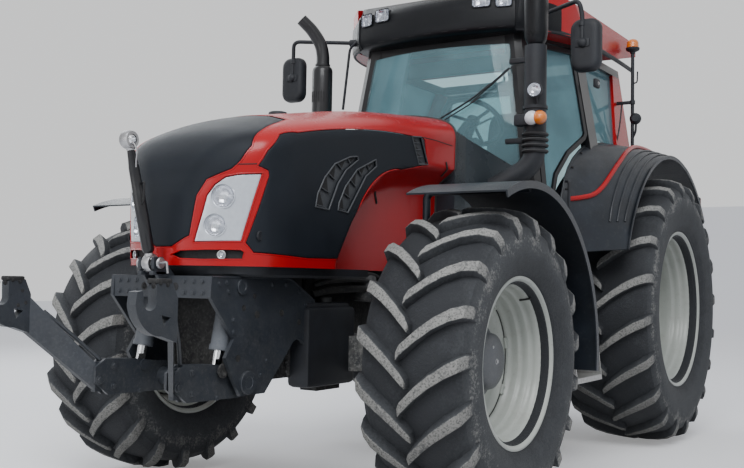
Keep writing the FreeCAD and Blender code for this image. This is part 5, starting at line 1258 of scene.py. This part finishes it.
def cab_lamps():
    piece = Piece("lamps_look")
    for x, z, wide in VISOR_LAMPS:
        frame_at = visor_lamp_frame(x, z)
        bowl = [[Vector((a * k, b * k, t)) for a, b in oblong(wide, 76, 15)]
                for k, t in ((1.0, 1), (0.96, -8), (0.72, -20), (0.3, -26))]
        points, faces = grid(bowl, around=True)
        count = len(bowl[0])
        faces.append(tuple(range(len(points) - count, len(points))))
        piece.both(moved((points, faces), frame_at), MIRROR)
        piece.both(moved(lathe([(-26, 13), (-12, 15), (-5, 9), (-4, 0)], (0, 0, 0), UP, 20),
                         frame_at), BULB)
        piece.both(moved(plate("z", 0, 5, oblong(wide + 2, 78, 16), 2), frame_at), CLEAR)
        edge = [Vector((a, b, 3)) for a, b in oblong(wide + 6, 82, 18)]
        piece.both(moved(tube(edge, 3.2, 6, closed=True), frame_at), VISOR)
        rib = plate("z", 5, 6.5, oblong(2.5, 70, 1), 0.4)
        for k in (-1, 1):
            aside = Matrix.Translation((k * wide * 0.26, 0, 0))
            piece.both(moved(moved(rib, aside), frame_at), BULB)
    work = Vector((824, -1795, 2124))
    ahead = Vector((0.18, -1, 0.03))
    piece.add(lathe([(-40, 0), (-40, 26), (-24, 40), (-4, 45), (6, 45), (6, 41)], work, ahead, 36),
              TRIM)
    round_lamp(piece, work + ahead * 5, ahead, 40, bezel=TRIM)
    piece.add(rod(work + Vector((0, 20, -30)), work + Vector((-6, 50, -88)), 9), TRIM)
    mark = Vector((812, -1800, 1967))
    piece.add(block(mark + Vector((-120, 18, -34)), mark + Vector((-18, 82, 30)), 10), TRIM)
    piece.add(lathe([(-30, 0), (-30, 26), (-6, 42), (4, 43), (4, 40)], mark, ahead, 32), TRIM)
    piece.add(lathe([(4, 40), (20, 33), (30, 16), (32, 0)], mark, ahead, 32), BULB)
    side = mark + Vector((44, 8, 0))
    piece.add(lathe([(-20, 0), (-20, 34), (6, 40), (18, 36), (34, 26), (42, 10), (43, 0)], side,
                    (0.55, -0.85, 0), 32), AMBER)
    for x0, look in ((932, RED_LENS), (980, AMBER), (1024, RED_LENS)):
        piece.both(block((x0 + 2, 800, 1634), (x0 + 44, 824, 1726), 6), look)
    piece.both(block((930, 768, 1630), (1070, 806, 1730), 8), TRIM)
    piece.done("chassis", "lamp_shell", "lamps")


def duct():
    x, y = 790.0, -1700.0
    piece = Piece("intake_duct_look")
    body = [(x, y, 1872), (x, y, 2150), (x, y, 2392)]
    piece.add(tube(smooth_line(body, 6), 62, 36), TRIM)
    elbow = rounded([(x, y, 1860), (x - 8, y - 2, 1716), (x - 226, y - 66, 1588)], 95, 12)
    piece.add(tube(elbow, 60, 36), TRIM)
    for z in (1793, 1825, 1857, 1888):
        piece.add(lathe([(-11, 60), (-8, 72), (0, 77), (8, 72), (11, 60)], (x, y, z), UP, 40),
                  RUBBER)
    ring = lathe([(-9, 60), (-9, 70), (9, 70), (9, 60)], (x, y, 2040), UP, 40, closed=True)
    piece.add(ring, TRIM)
    rows = []
    for z, k in ((2372, 0.30), (2392, 0.62), (2425, 0.88), (2470, 1.0), (2690, 1.0), (2728, 0.93),
                 (2752, 0.72), (2761, 0.3)):
        rows.append([Vector((x + a * k, y + b * k, z)) for a, b in oblong(128, 128, 52, 5)])
    piece.add(shell(rows), VISOR)
    cells = []
    for row in range(22):
        z = 2440 + row * 12.5
        for column in range(-5, 6):
            turn = math.radians(column * 12.5 + (6.25 if row % 2 else 0) - 90)
            reach = abs(column) * 12.5
            if z > 2716 - reach * 0.4 or z < 2430 + reach * 0.9:
                continue
            out = Vector((math.cos(turn), math.sin(turn), 0))
            base = Vector((x, y, z)) + out * 64.2
            place = facing(base, out)
            cells.append(moved(lathe([(0, 6.3), (2.6, 6.3), (2.6, 4.4), (-1, 3.6), (-1, 0)],
                                     (0, 0, 0), UP, 6), place))
    piece.add(merge(*cells), DEEP)
    piece.add(block((630, y - 14, 2304), (x, y + 14, 2334), 5), TRIM)
    piece.add(block((610, y - 14, 1845), (x, y + 14, 1875), 5), TRIM)
    piece.done("chassis", "dark_plastic", "intake_duct")


def mirrors():
    piece = Piece("mirrors_look")
    x, y, z = 1029.0, -1552.0, 2400.0
    rings = []
    for depth, k in ((-34, 0.5), (-33, 0.72), (-26, 0.88), (-12, 0.97), (6, 1.0), (22, 1.0),
                     (28, 0.97)):
        rings.append([Vector((x + a * k, y + depth, z + b * (k + 1) / 2)) for a, b in
                      oblong(176, 300, 58, 6)])
    piece.both(shell(rings), TRIM)
    glass = [[Vector((x + a, y + d, z + b)) for a, b in oblong(158 - c, 280 - c, 50, 6)]
             for d, c in ((27, 0), (29.5, 2))]
    piece.both(shell(glass), MIRROR)
    piece.both(lathe([(0, 30), (10, 28), (20, 20), (25, 9), (26, 0)], (x - 8, y - 30, z + 8),
                     AHEAD, 28), TRIM)
    piece.both(block((x - 52, y - 40, z - 16), (x + 34, y - 28, z + 30), 5), TRIM)
    arm = rounded([(640, -1400, 2640), (x - 26, y - 44, 2650), (x - 12, y - 26, z + 170),
                   (x - 10, y - 32, z + 20)], 46, 8)
    piece.both(tube(arm, 13, 16), TRIM)
    piece.both(lathe([(-16, 17), (-12, 21), (12, 21), (16, 17)], (x - 14, y - 24, z + 118),
                     UP, 20), TRIM)
    piece.both(rod((612, -1392, 2640), (676, -1408, 2641), 24, 5), TRIM)
    piece.done("chassis", "dark_plastic", "mirrors")


def beacon():
    piece = Piece("lamp_post_look")
    x, y = 862.0, -200.0
    piece.add(rod((x, y, 1995), (x, y, 2690), 12, 3), TRIM)
    piece.add(lathe([(0, 0), (0, 44), (8, 46), (17, 40), (17, 0)], (x, y, 1978), UP, 28), TRIM)
    for a in (-28, 28):
        piece.add(bolt((x + a, y + a * 0.3, 1994), UP, 7), STEEL)
    foot = [(-14, 0), (-14, 14), (0, 20), (10, 42), (18, 47), (28, 47), (30, 42), (30, 0)]
    piece.add(lathe(foot, (x, y, 2660), UP, 36), TRIM)
    piece.add(lathe([(30, 41), (60, 40), (74, 36), (84, 26), (89, 12), (90, 0)], (x, y, 2660),
                    UP, 36), AMBER)
    hook = rounded([(x, y, 2440), (x + 34, y - 6, 2445), (x + 36, y - 6, 2520)], 14, 5)
    piece.add(tube(hook, 5, 10), TRIM)
    piece.add(block((752, y - 12, 2300), (x, y + 12, 2322), 4), TRIM)
    piece.add(rod((x, y, 2296), (x, y, 2326), 18, 3), TRIM)
    arm = rounded([(x, y, 2060), (x + 24, y - 4, 2105), (x + 26, y - 4, 2160)], 16)
    piece.add(tube(arm, 8, 10), TRIM)
    lamp, back = Vector((x + 22, y - 8, 2196)), (-0.2, 1, 0)
    piece.add(lathe([(-22, 0), (-22, 22), (-6, 38), (16, 40), (16, 36)], lamp, back, 32), TRIM)
    piece.add(lathe([(15, 37), (20, 24), (22, 0)], lamp, back, 32), BULB)
    piece.done("chassis", "lamp_shell", "lamp_post")


def stack():
    piece = Piece("exhaust_look")
    x, y = -700.0, -1680.0
    shield = lathe([(0, 40), (0, 62), (6, 66), (700, 66), (718, 62), (730, 52), (732, 45)],
                   (x, y, 1700), UP, 44)
    piece.add(shield, BLACK_PAINT)
    # Near-black oblong plates on the heat shield: painted shade standing in for its slots.
    for z in (1790, 2010, 2230):
        for turn in range(-3, 4):
            a = math.radians(-90 + turn * 15)
            out = Vector((math.cos(a), math.sin(a), 0))
            piece.add(moved(plate("z", -1, 1.6, oblong(7, 70, 3), 0.5),
                            facing(Vector((x, y, z)) + out * 66, out)), SEAM_AND_SLOT_SHADE)
    foot = rounded([(-420, -1784, 1482), (-560, -1766, 1494), (x, y, 1590), (x, y, 1720)], 70, 8)
    piece.add(tube(foot, 45, 28), BLACK_PAINT)
    line = smooth_line([(x, y, 2424), (x, y, 2500), (x - 12, y - 13, 2578), (x - 48, y - 53, 2660),
                        (x - 96, y - 106, 2728)], 6)
    radii = [44.0 - 6.0 * (i / (len(line) - 1)) for i in range(len(line))]
    piece.add(tube(line, radii, 28), BLACK_PAINT)
    end, before = line[-1], line[-2]
    along = (end - before).normalized()
    piece.add(lathe([(0, 37), (2, 38), (4, 35), (-30, 32), (-30, 0)], end, along, 28), DEEP)
    piece.add(lathe([(-6, 46), (-6, 49), (6, 49), (6, 46)], (x, y, 2440), UP, 32, closed=True),
              BLACK_PAINT)
    piece.done("chassis", "black_paint", "exhaust")


def cab_trim():
    piece = Piece("cab_trim")
    arm = smooth_line([(96, -1570, 2043), (292, -1531, 2156), (406, -1493, 2249)], 6)
    piece.add(tube(arm, 6, 10), TRIM)
    piece.add(tube([p + Vector((24, -2, -14)) for p in arm[:-4]], 4, 8), TRIM)
    blade = smooth_line([(292, -1522, 2140), (406, -1486, 2240), (490, -1450, 2320),
                         (556, -1420, 2386)], 6)
    piece.add(tube(blade, 4.5, 8), RUBBER)
    piece.add(tube([p + Vector((0, -8, 4)) for p in blade[4:-4]], 5, 8), TRIM)
    piece.add(block((60, -1590, 2008), (124, -1552, 2048), 10), TRIM)
    pole = rounded([(-600, -1430, 2640), (-655, -1436, 2600), (-700, -1440, 2190)], 30)
    piece.add(tube(pole, 9, 12), TRIM)
    for side in (1, -1):
        out = (side, -0.1, 0)
        for y, z in ((-845, 1790), (-835, 2330)):
            piece.add(block((side * 822, y - 34, z - 28), (side * 846, y + 34, z + 28), 7), TRIM)
            piece.add(bolt((side * 846, y, z), out, 9), STEEL)
        handle = rounded([(side * 826, -1330, 1660), (side * 850, -1334, 1660),
                          (side * 850, -1330, 1500), (side * 826, -1326, 1500)], 14)
        piece.add(tube(handle, 9, 10), TRIM)
    wiper = smooth_line([(792, -330, 2000), (806, -300, 2140), (800, -240, 2290)], 6)
    piece.add(tube(wiper, 5, 8), TRIM)
    piece.done("chassis", "dark_plastic")

    inside = Piece("cab_inner_mirror")
    inside.add(block((380, -1350, 2222), (496, -1330, 2282), 10), TRIM)
    inside.add(block((386, -1331, 2228), (490, -1326, 2276), 4), MIRROR)
    inside.add(rod((438, -1345, 2280), (430, -1400, 2400), 6), TRIM)
    inside.add(block((-520, -1290, 2380), (520, -1250, 2480), 14), INSIDE)
    inside.done("chassis", "dark_plastic")


# Fenders

FENDER_EDGE = ((-1205, 1240), (-1262, 1350), (-1290, 1475), (-1272, 1585), (-1226, 1684),
               (-1170, 1757), (-1096, 1819), (-995, 1880), (-876, 1933), (-600, 1978),
               (-300, 1998), (0, 1995), (200, 1975))


def fender_point(t, share, lift=0.0):
    """A point between the fender's inner front edge and its outer lip."""
    place = t * (len(FENDER_EDGE) - 1)
    k = min(len(FENDER_EDGE) - 2, int(place))
    (y0, z0), (y1, z1) = FENDER_EDGE[k:k + 2]
    y, z = y0 + (y1 - y0) * (place - k), z0 + (z1 - z0) * (place - k)
    a = math.radians(159 - 89 * t)
    k = share ** 1.25
    y += (1037 * math.cos(a) - y) * k
    z += (900 + 1037 * math.sin(a) - z) * k
    swell = math.sin(math.pi * share) * 10 + lift
    return Vector((780 + 305 * share, y + math.cos(a) * swell, z + math.sin(a) * swell))


def rear_fenders():
    piece = Piece("rear_fenders_look")
    turns = [i / 40 for i in range(41)]
    shares = [i / 16 for i in range(17)]
    top = [[fender_point(t, u) for u in shares] for t in turns]
    under = [[fender_point(t, u, -9.0) for u in reversed(shares)] for t in turns]
    piece.both(shell([a + b for a, b in zip(top, under)]), FENDER)
    rest = []
    for i in range(25):
        a = math.radians(72 - 34 * i / 24)
        line = []
        for x, r in ((505, 1026), (505, 1037), (780, 1037), (786, 1070), (800, 1098), (925, 1098),
                     (944, 1060), (960, 1038), (1072, 1037), (1088, 1050), (1093, 1047),
                     (1092, 1022), (1078, 1020), (1070, 1026)):
            line.append(Vector((x, r * math.cos(a), 900 + r * math.sin(a))))
        rest.append(line)
    piece.both(shell(rest), FENDER)
    inner = []
    for i in range(31):
        a = math.radians(159 - 89 * i / 30)
        inner.append([Vector((x, r * math.cos(a), 900 + r * math.sin(a)))
                      for x, r in ((505, 1025), (505, 1037), (1076, 1037), (1090, 1048),
                                   (1093, 1044), (1090, 1022), (1074, 1025))])
    piece.both(shell(inner), FENDER)
    for share in (0.70, 0.80, 0.90):
        rib = [fender_point(0.12 + 0.86 * i / 30, share, 2.0) for i in range(31)]
        piece.both(tube(rib, 7, 8), FENDER)
    lip = [fender_point(i / 40, 0.0, 2.0) for i in range(41)]
    piece.both(tube(lip, 8, 8), FENDER)
    for t in (0.16, 0.28, 0.42, 0.56, 0.70):
        place = fender_point(t, 0.06, 2.0)
        out = Vector((0.5, math.cos(math.radians(159 - 89 * t)), 0.6))
        piece.both(lathe([(0, 9), (4, 8), (5, 4), (5, 0)], place, out, 14), DEEP)
    piece.done("chassis", "dark_plastic", "rear_fenders")

    trim = Piece("fender_mouldings_look")
    line = [(0.225, 0.12), (0.23, 0.30), (0.245, 0.45), (0.29, 0.54), (0.37, 0.59), (0.49, 0.61),
            (0.60, 0.59), (0.74, 0.52), (0.86, 0.50), (0.98, 0.50)]
    path = smooth_line([fender_point(t, u, 8.0) for t, u in line], 7)
    trim.both(tube(path, 15, 16), RED)
    trim.done("chassis", "red_paint", "fender_mouldings")


# Front linkage

def cap(place, out, radius, high):
    """A round cover with small bolts near its rim."""
    made = [lathe([(0, radius), (high - 2, radius), (high, radius - 2), (high, radius * 0.55),
                   (high - 2, radius * 0.5), (high - 2, 0)], place, out, 32)]
    frame_at = facing(place, out)
    for k in range(3):
        a = math.tau * k / 3 + 0.6
        ring = radius * 0.74
        spot = frame_at @ Vector((ring * math.cos(a), ring * math.sin(a), high - 1))
        made.append(bolt(spot, out, 4))
    return merge(*made)


def linkage_details():
    piece = Piece("linkage_details")
    out = OUT
    piece.both(cap((290, -3560, 615), out, 50, 14), SLATE)
    piece.both(cap((290, -3605, 1020), out, 34, 10), SLATE)
    for y, z in ((-3748, 1030), (-3700, 1035), (-3690, 1000), (-3655, 880), (-3650, 830),
                 (-3400, 1030), (-3300, 1030), (-3200, 1000), (-3150, 940), (-3140, 880),
                 (-3140, 820), (-3140, 690), (-3135, 620), (-3470, 640), (-3430, 700)):
        piece.both(bolt((290, y, z), out, 9), SLATE)
    # Thin near-black discs on the frame's side: painted shade standing in for its holes.
    for y, z, r in ((-3590, 930, 13), (-3500, 900, 16), (-3330, 905, 16), (-3200, 860, 13),
                    (-3620, 720, 15), (-3520, 980, 10)):
        hole = [(-0.5, 0), (-0.5, r), (1.2, r), (1.2, r * 0.8), (0.4, r * 0.8), (0.4, 0)]
        piece.both(lathe(hole, (290, y, z), out, 24), DEEP)
    piece.both(tube(rounded([(288, -3790, 1058), (288, -3268, 1058), (288, -3082, 956),
                             (288, -3082, 575)], 30), 5, 8), SLATE)
    for x in (-240, -190, -140, 140, 190, 240):
        for z in (994, 1040):
            piece.add(bolt((x, -3793, z), AHEAD, 10), SLATE)
    # Thin near-black discs: painted shade standing in for two holes in the front plate.
    for x in (-90, 90):
        piece.add(lathe([(-1, 0), (-1, 17), (1, 17), (1, 0)], (x, -3793, 1016), AHEAD, 24), DEEP)
    piece.add(rod((-52, -3850, 1112), (-62, -3850, 1112), 24, 4), STEEL)
    piece.add(rod((52, -3850, 1112), (64, -3850, 1112), 24, 4), STEEL)
    piece.add(tube(rounded([(64, -3850, 1112), (92, -3850, 1118), (96, -3846, 1070)], 10), 5, 8),
              STEEL)
    for x in (-34, 34):
        piece.add(block((x - 12, -3880, 1062), (x + 12, -3795, 1080), 4), SLATE)
        piece.add(bolt((x, -3850, 1080), UP, 9), STEEL)
    piece.done("chassis", "dark_iron")

    arms = Piece("arm_details")
    for y, z, size in ((-3930, 620, 16), (-3852, 590, 12), (-3852, 675, 12), (-3700, 560, 10)):
        arms.both(merge(bolt((250, y, z), OUT, size), bolt((196, y, z), (-1, 0, 0), size)),
                  SLATE)
    arms.both(cap((258, -3680, 670), OUT, 30, 9), DEEP)
    for y, z in ((-4262, 1040), (-4226, 1052), (-4190, 1046)):
        arms.both(bolt((435, y, z - 18), OUT, 8), DEEP)
        arms.both(bolt((391, y, z - 18), (-1, 0, 0), 8), DEEP)
    arms.both(block((388, -4250, 1030), (438, -4168, 1049), 6), DEEP)
    for y in (-4236, -4206, -4182):
        arms.both(bolt((413, y, 1040), UP, 8), DEEP)
    # Thin near-black discs: painted shade standing in for holes in the arms.
    for y, z in ((-4178, 990), (-4160, 940), (-4196, 930)):
        arms.both(lathe([(-0.5, 0), (-0.5, 8), (1, 8), (1, 0)], (391, y, z), (-1, 0, 0), 16), DEEP)
    arms.both(tube([(230, -3900, 700), (300, -3985, 800), (372, -4085, 905)], 9, 10), SLATE)
    arms.done("front_arms", "dark_iron")

    link = Piece("front_top_link_look")
    low, high = Vector((0, -3850, 1112)), Vector((0, -3989, 1611))
    along = (high - low).normalized()
    link.add(lathe([(42, 13), (48, 22), (60, 26), (300, 26), (304, 23), (400, 22), (440, 18),
                    (474, 16)], low, along, 30), BLACK_PAINT)
    for place, width in ((low, 20), (high, 22)):
        link.add(lathe([(-width, 22), (-width, 34), (-width + 5, 37), (width - 5, 37), (width, 34),
                        (width, 22)], place, OUT, 36, closed=True), STEEL)
        link.add(lathe([(-width - 3, 13), (-width + 2, 20), (0, 24), (width - 2, 20),
                        (width + 3, 13)], place, OUT, 32, closed=True), CHROME)
    link.add(lathe([(476, 18), (486, 20), (496, 26)], low, along, 24), STEEL)
    link.add(lathe([(20, 26), (30, 20), (44, 16)], low, along, 24), STEEL)
    grip = [low + along * 250 + Vector(step) for step in
            ((20, -10, 0), (44, -24, 6), (44, -24, 90), (20, -10, 84))]
    link.add(tube(rounded(grip, 12), 4.5, 8), DEEP)
    clip = [high + Vector(step) for step in
            ((26, -6, -8), (44, 2, -42), (30, 14, -84), (20, 24, -110))]
    link.add(tube(smooth_line(clip, 5), 3.2, 6), STEEL)
    link.done("front_top_link", "steel", "front_top_link")


# Seat and engine side

CHANNELS = 5  # stitched channels across a cushion

def cushion(piece, place, wide, long, thick):
    """A padded slab in a local frame: x across, y along, z out of the face."""
    count = 36
    rings = []
    for i in range(count + 1):
        u = i / count
        y = (u - 0.5) * long
        ends = min(1.0, max(0.0, 1 - abs(2 * u - 1) ** 7))
        ring = []
        for k in range(48):
            a = math.tau * k / 48
            ca, sa = math.cos(a), math.sin(a)
            x = wide / 2 * math.copysign(abs(ca) ** 0.32, ca) * (0.86 + 0.14 * ends)
            z = thick / 2 * math.copysign(abs(sa) ** 0.45, sa) * (0.35 + 0.65 * ends ** 0.5)
            if sa > 0:
                wing = max(0.0, abs(x) / (wide / 2) - 0.62) / 0.38
                z += thick * 0.24 * wing * (1 - wing * 0.45) * ends
                pleat = abs(math.sin(math.pi * u * CHANNELS))
                z -= 6.0 * (1 - pleat) ** 3 * (1 - min(1.0, wing * 3)) * ends
            ring.append(place @ Vector((x, y, z)))
        rings.append(ring)
    piece.add(shell(rings), CLOTH)
    for side in (1, -1):
        edge = side * wide / 2 * 0.985
        seam = [place @ Vector((edge, (i / 20 - 0.5) * long * 0.93, thick * 0.02))
                for i in range(21)]
        piece.add(tube(seam, 3.0, 6), CLOTH)


def seat():
    base = Matrix.Translation((0, -523, 1690)) @ Matrix.Rotation(math.pi, 4, "Z")
    lean = facing((0, -198, 2010), (0, -0.985, 0.17))
    for name, place, size in (("seat_cushion", base, (490, 460, 96)),
                              ("seat_back", lean, (460, 610, 92))):
        piece = Piece(name + "_look")
        cushion(piece, place, *size)
        made = piece.done("chassis", "seat_cloth", name, angle=60)
    rest = Piece("seat_fittings")
    rest.add(block((-262, -420, 1700), (-222, -180, 1740), 10), INSIDE)
    rest.add(block((222, -420, 1700), (262, -180, 1740), 10), INSIDE)
    rest.add(tube(smooth_line([(0, -1180, 1900), (0, -1110, 2010), (0, -1000, 2100)], 6), 30, 20),
             INSIDE)
    rest.add(tube(rounded([(24, -1010, 2080), (120, -1030, 2100), (190, -1020, 2130)], 20), 7, 10),
             TRIM)
    rest.add(lathe([(-22, 0), (-22, 16), (0, 20), (16, 17), (22, 8), (24, 0)], (-296, -690, 1800),
                   (0, -0.2, 1), 24), RUBBER)
    for k in range(4):
        rest.add(rod((-296, -660 + 70 * k, 1758), (-296, -660 + 70 * k, 1776), 12, 4), TRIM)
    rest.done("chassis", "dark_plastic")


def engine_side():
    piece = Piece("engine_fittings")
    piece.both(lathe([(0, 0), (0, 50), (8, 56), (120, 56), (130, 50), (130, 0)],
                     (262, -2620, 950), (0, 0.1, 1), 30), CASTING)
    piece.both(lathe([(0, 0), (0, 38), (6, 42), (96, 42), (104, 36), (104, 0)],
                     (262, -2480, 960), UP, 30), TRIM)
    for k in range(4):
        y = -2960 + 130 * k
        piece.both(block((225, y, 1240), (262, y + 86, 1330), 10), CASTING)
        piece.both(bolt((262, y + 43, 1285), OUT, 10), STEEL)
    for x, z, r in ((290, 1080, 14), (296, 1048, 10), (286, 1005, 18)):
        line = smooth_line([(x - 40, -3040, z - 20), (x, -2960, z), (x + 10, -2760, z + 8),
                            (x - 10, -2560, z), (x - 50, -2420, z - 30)], 6)
        piece.both(tube(line, r, 14), DEEP)
    piece.both(block((192, -3160, 556), (318, -2772, 928), 22), TRIM)
    piece.both(block((210, -3150, 900), (300, -2800, 948), 16), TRIM)
    piece.both(block((186, -3172, 600), (214, -3080, 930), 12), DEEP)
    piece.both(rod((262, -2960, 944), (262, -2960, 974), 34, 6), RUBBER)
    for k in range(7):
        piece.both(bolt((200, -3172, 630 + 42 * k), AHEAD, 5), CASTING)
    piece.done("chassis", "dark_iron")


linkage_details()
seat()
engine_side()
visor()
cab_lamps()
duct()
mirrors()
beacon()
stack()
cab_trim()
rear_fenders()


# Stage, light and camera

def stage():
    size = 60.0
    rows = []
    for i in range(25):
        t = i / 24
        y = -30 + size * t
        z = -0.002 if y < 22 else -0.002 + (y - 22) ** 2 * 0.06
        rows.append([Vector((x * size / 24 - size / 2, y, z)) for x in range(25)])
    points, faces = grid(rows)
    mesh = bpy.data.meshes.new("studio_floor")
    mesh.from_pydata(points, [], faces)
    mesh.shade_smooth()
    floor = bpy.data.objects.new("studio_floor", mesh)
    bpy.context.scene.collection.objects.link(floor)
    look = Look("floor_paper", (0.34, 0.34, 0.34), 0.9, Specular_IOR_Level=0.1)
    path = look.tree.nodes.new("ShaderNodeLightPath")
    seen = look.calc("MAXIMUM", path.outputs["Is Camera Ray"], path.outputs["Is Glossy Ray"])
    look.layer(seen, (0.93, 0.93, 0.935))
    look.shader.inputs["Emission Color"].default_value = (1.0, 1.0, 1.0, 1.0)
    look.put(look.shader.inputs["Emission Strength"], look.calc("MULTIPLY", seen, 0.26))
    look.layer(look.noise(0.6, 0.3, 0.7, 3), (0.88, 0.88, 0.885), amount=0.2)
    mesh.materials.append(look.done())


def world():
    made = bpy.data.worlds.new("studio")
    bpy.context.scene.world = made
    made.use_nodes = True
    tree = made.node_tree
    tree.nodes.clear()
    out = tree.nodes.new("ShaderNodeOutputWorld")
    path = tree.nodes.new("ShaderNodeLightPath")
    lit = tree.nodes.new("ShaderNodeBackground")
    lit.inputs["Color"].default_value = (0.86, 0.90, 1.0, 1)
    lit.inputs["Strength"].default_value = 0.52
    seen = tree.nodes.new("ShaderNodeBackground")
    seen.inputs["Color"].default_value = (0.93, 0.935, 0.94, 1)
    mixer = tree.nodes.new("ShaderNodeMixShader")
    share = path.outputs["Is Camera Ray"]
    for ray in ("Is Transmission Ray", "Is Glossy Ray"):
        most = tree.nodes.new("ShaderNodeMath")
        most.operation = "MAXIMUM"
        tree.links.new(share, most.inputs[0])
        tree.links.new(path.outputs[ray], most.inputs[1])
        share = most.outputs[0]
    for source, socket in ((share, mixer.inputs[0]), (lit.outputs[0], mixer.inputs[1]),
                           (seen.outputs[0], mixer.inputs[2]),
                           (mixer.outputs[0], out.inputs["Surface"])):
        tree.links.new(source, socket)


def area_light(name, place, target, size, power, colour=(1, 1, 1)):
    data = bpy.data.lights.new(name, "AREA")
    data.shape = "RECTANGLE"
    data.size, data.size_y = size
    data.energy = power
    data.color = colour
    made = bpy.data.objects.new(name, data)
    bpy.context.scene.collection.objects.link(made)
    made.location = place
    made.rotation_euler = (Vector(target) - Vector(place)).to_track_quat("-Z", "Y").to_euler()


def camera():
    turn, tip, roll = (math.radians(a) for a in (32.685, 2.743, 0.982))
    level = math.cos(tip)
    ahead = Vector((-math.sin(turn) * level, math.cos(turn) * level, math.sin(tip)))
    right = Vector((math.cos(turn), math.sin(turn), 0))
    up = right.cross(ahead)
    right, up = (right * math.cos(roll) + up * math.sin(roll),
                 up * math.cos(roll) - right * math.sin(roll))
    data = bpy.data.cameras.new("view")
    data.sensor_fit = "HORIZONTAL"
    data.sensor_width = 36.0
    data.lens = 47.456
    data.clip_end = 200
    made = bpy.data.objects.new("view", data)
    bpy.context.scene.collection.objects.link(made)
    matrix = Matrix((right, up, -ahead)).transposed().to_4x4()
    matrix.translation = Vector((2.982, -5.1665, 1.053))
    made.matrix_world = matrix
    bpy.context.scene.camera = made


stage()
world()
area_light("sky_key", (3.5, -6.5, 7.5), (0, -1.0, 1.2), (6, 4), 700, (0.96, 0.98, 1.0))
area_light("sky_fill", (-6.5, 2.0, 6.0), (0, 0.5, 1.2), (6, 6), 260, (0.92, 0.96, 1.0))
area_light("front_fill", (-1.5, -9.0, 2.2), (0, -2.0, 1.0), (5, 3), 90)
camera()

# Finishes of the solids that stay

FINISH = {
    RED: ("rear_posts", "roof"),
    SLATE: ("linkage_frame", "lift_arms", "hook_links", "rocker_arms",
            "lower_link_left", "lower_link_right", "lift_rod_rear_left", "lift_rod_rear_right",
            "hitch_frame", "drawbar"),
    SLATE_PALE: ("lift_barrels",),
    CASTING: ("transmission", "front_axle_beam", "knuckle_left", "knuckle_right"),
    DEEP: ("engine", "front_support"),
    COWL: ("cowl",),
    FENDER: ("front_fender_left", "front_fender_right"),
    TRIM: ("dashboard", "steering_wheel", "side_tanks"),
    BLACK_PAINT: ("cab_frame", "door_frame_left", "door_frame_right", "rear_window_frame",
                  "rear_top_link"),
    INSIDE: ("cab_floor",),
    GLASS: ("fixed_glass", "door_glass_left", "door_glass_right", "rear_window_glass"),
    CHROME: ("lift_bars",),
    STEEL: ("pto_shaft",),
    ZINC: ("steps",),
}
for look, names in FINISH.items():
    for name in names:
        made = NODE[name]
        made.data.materials.clear()
        made.data.materials.append(look)
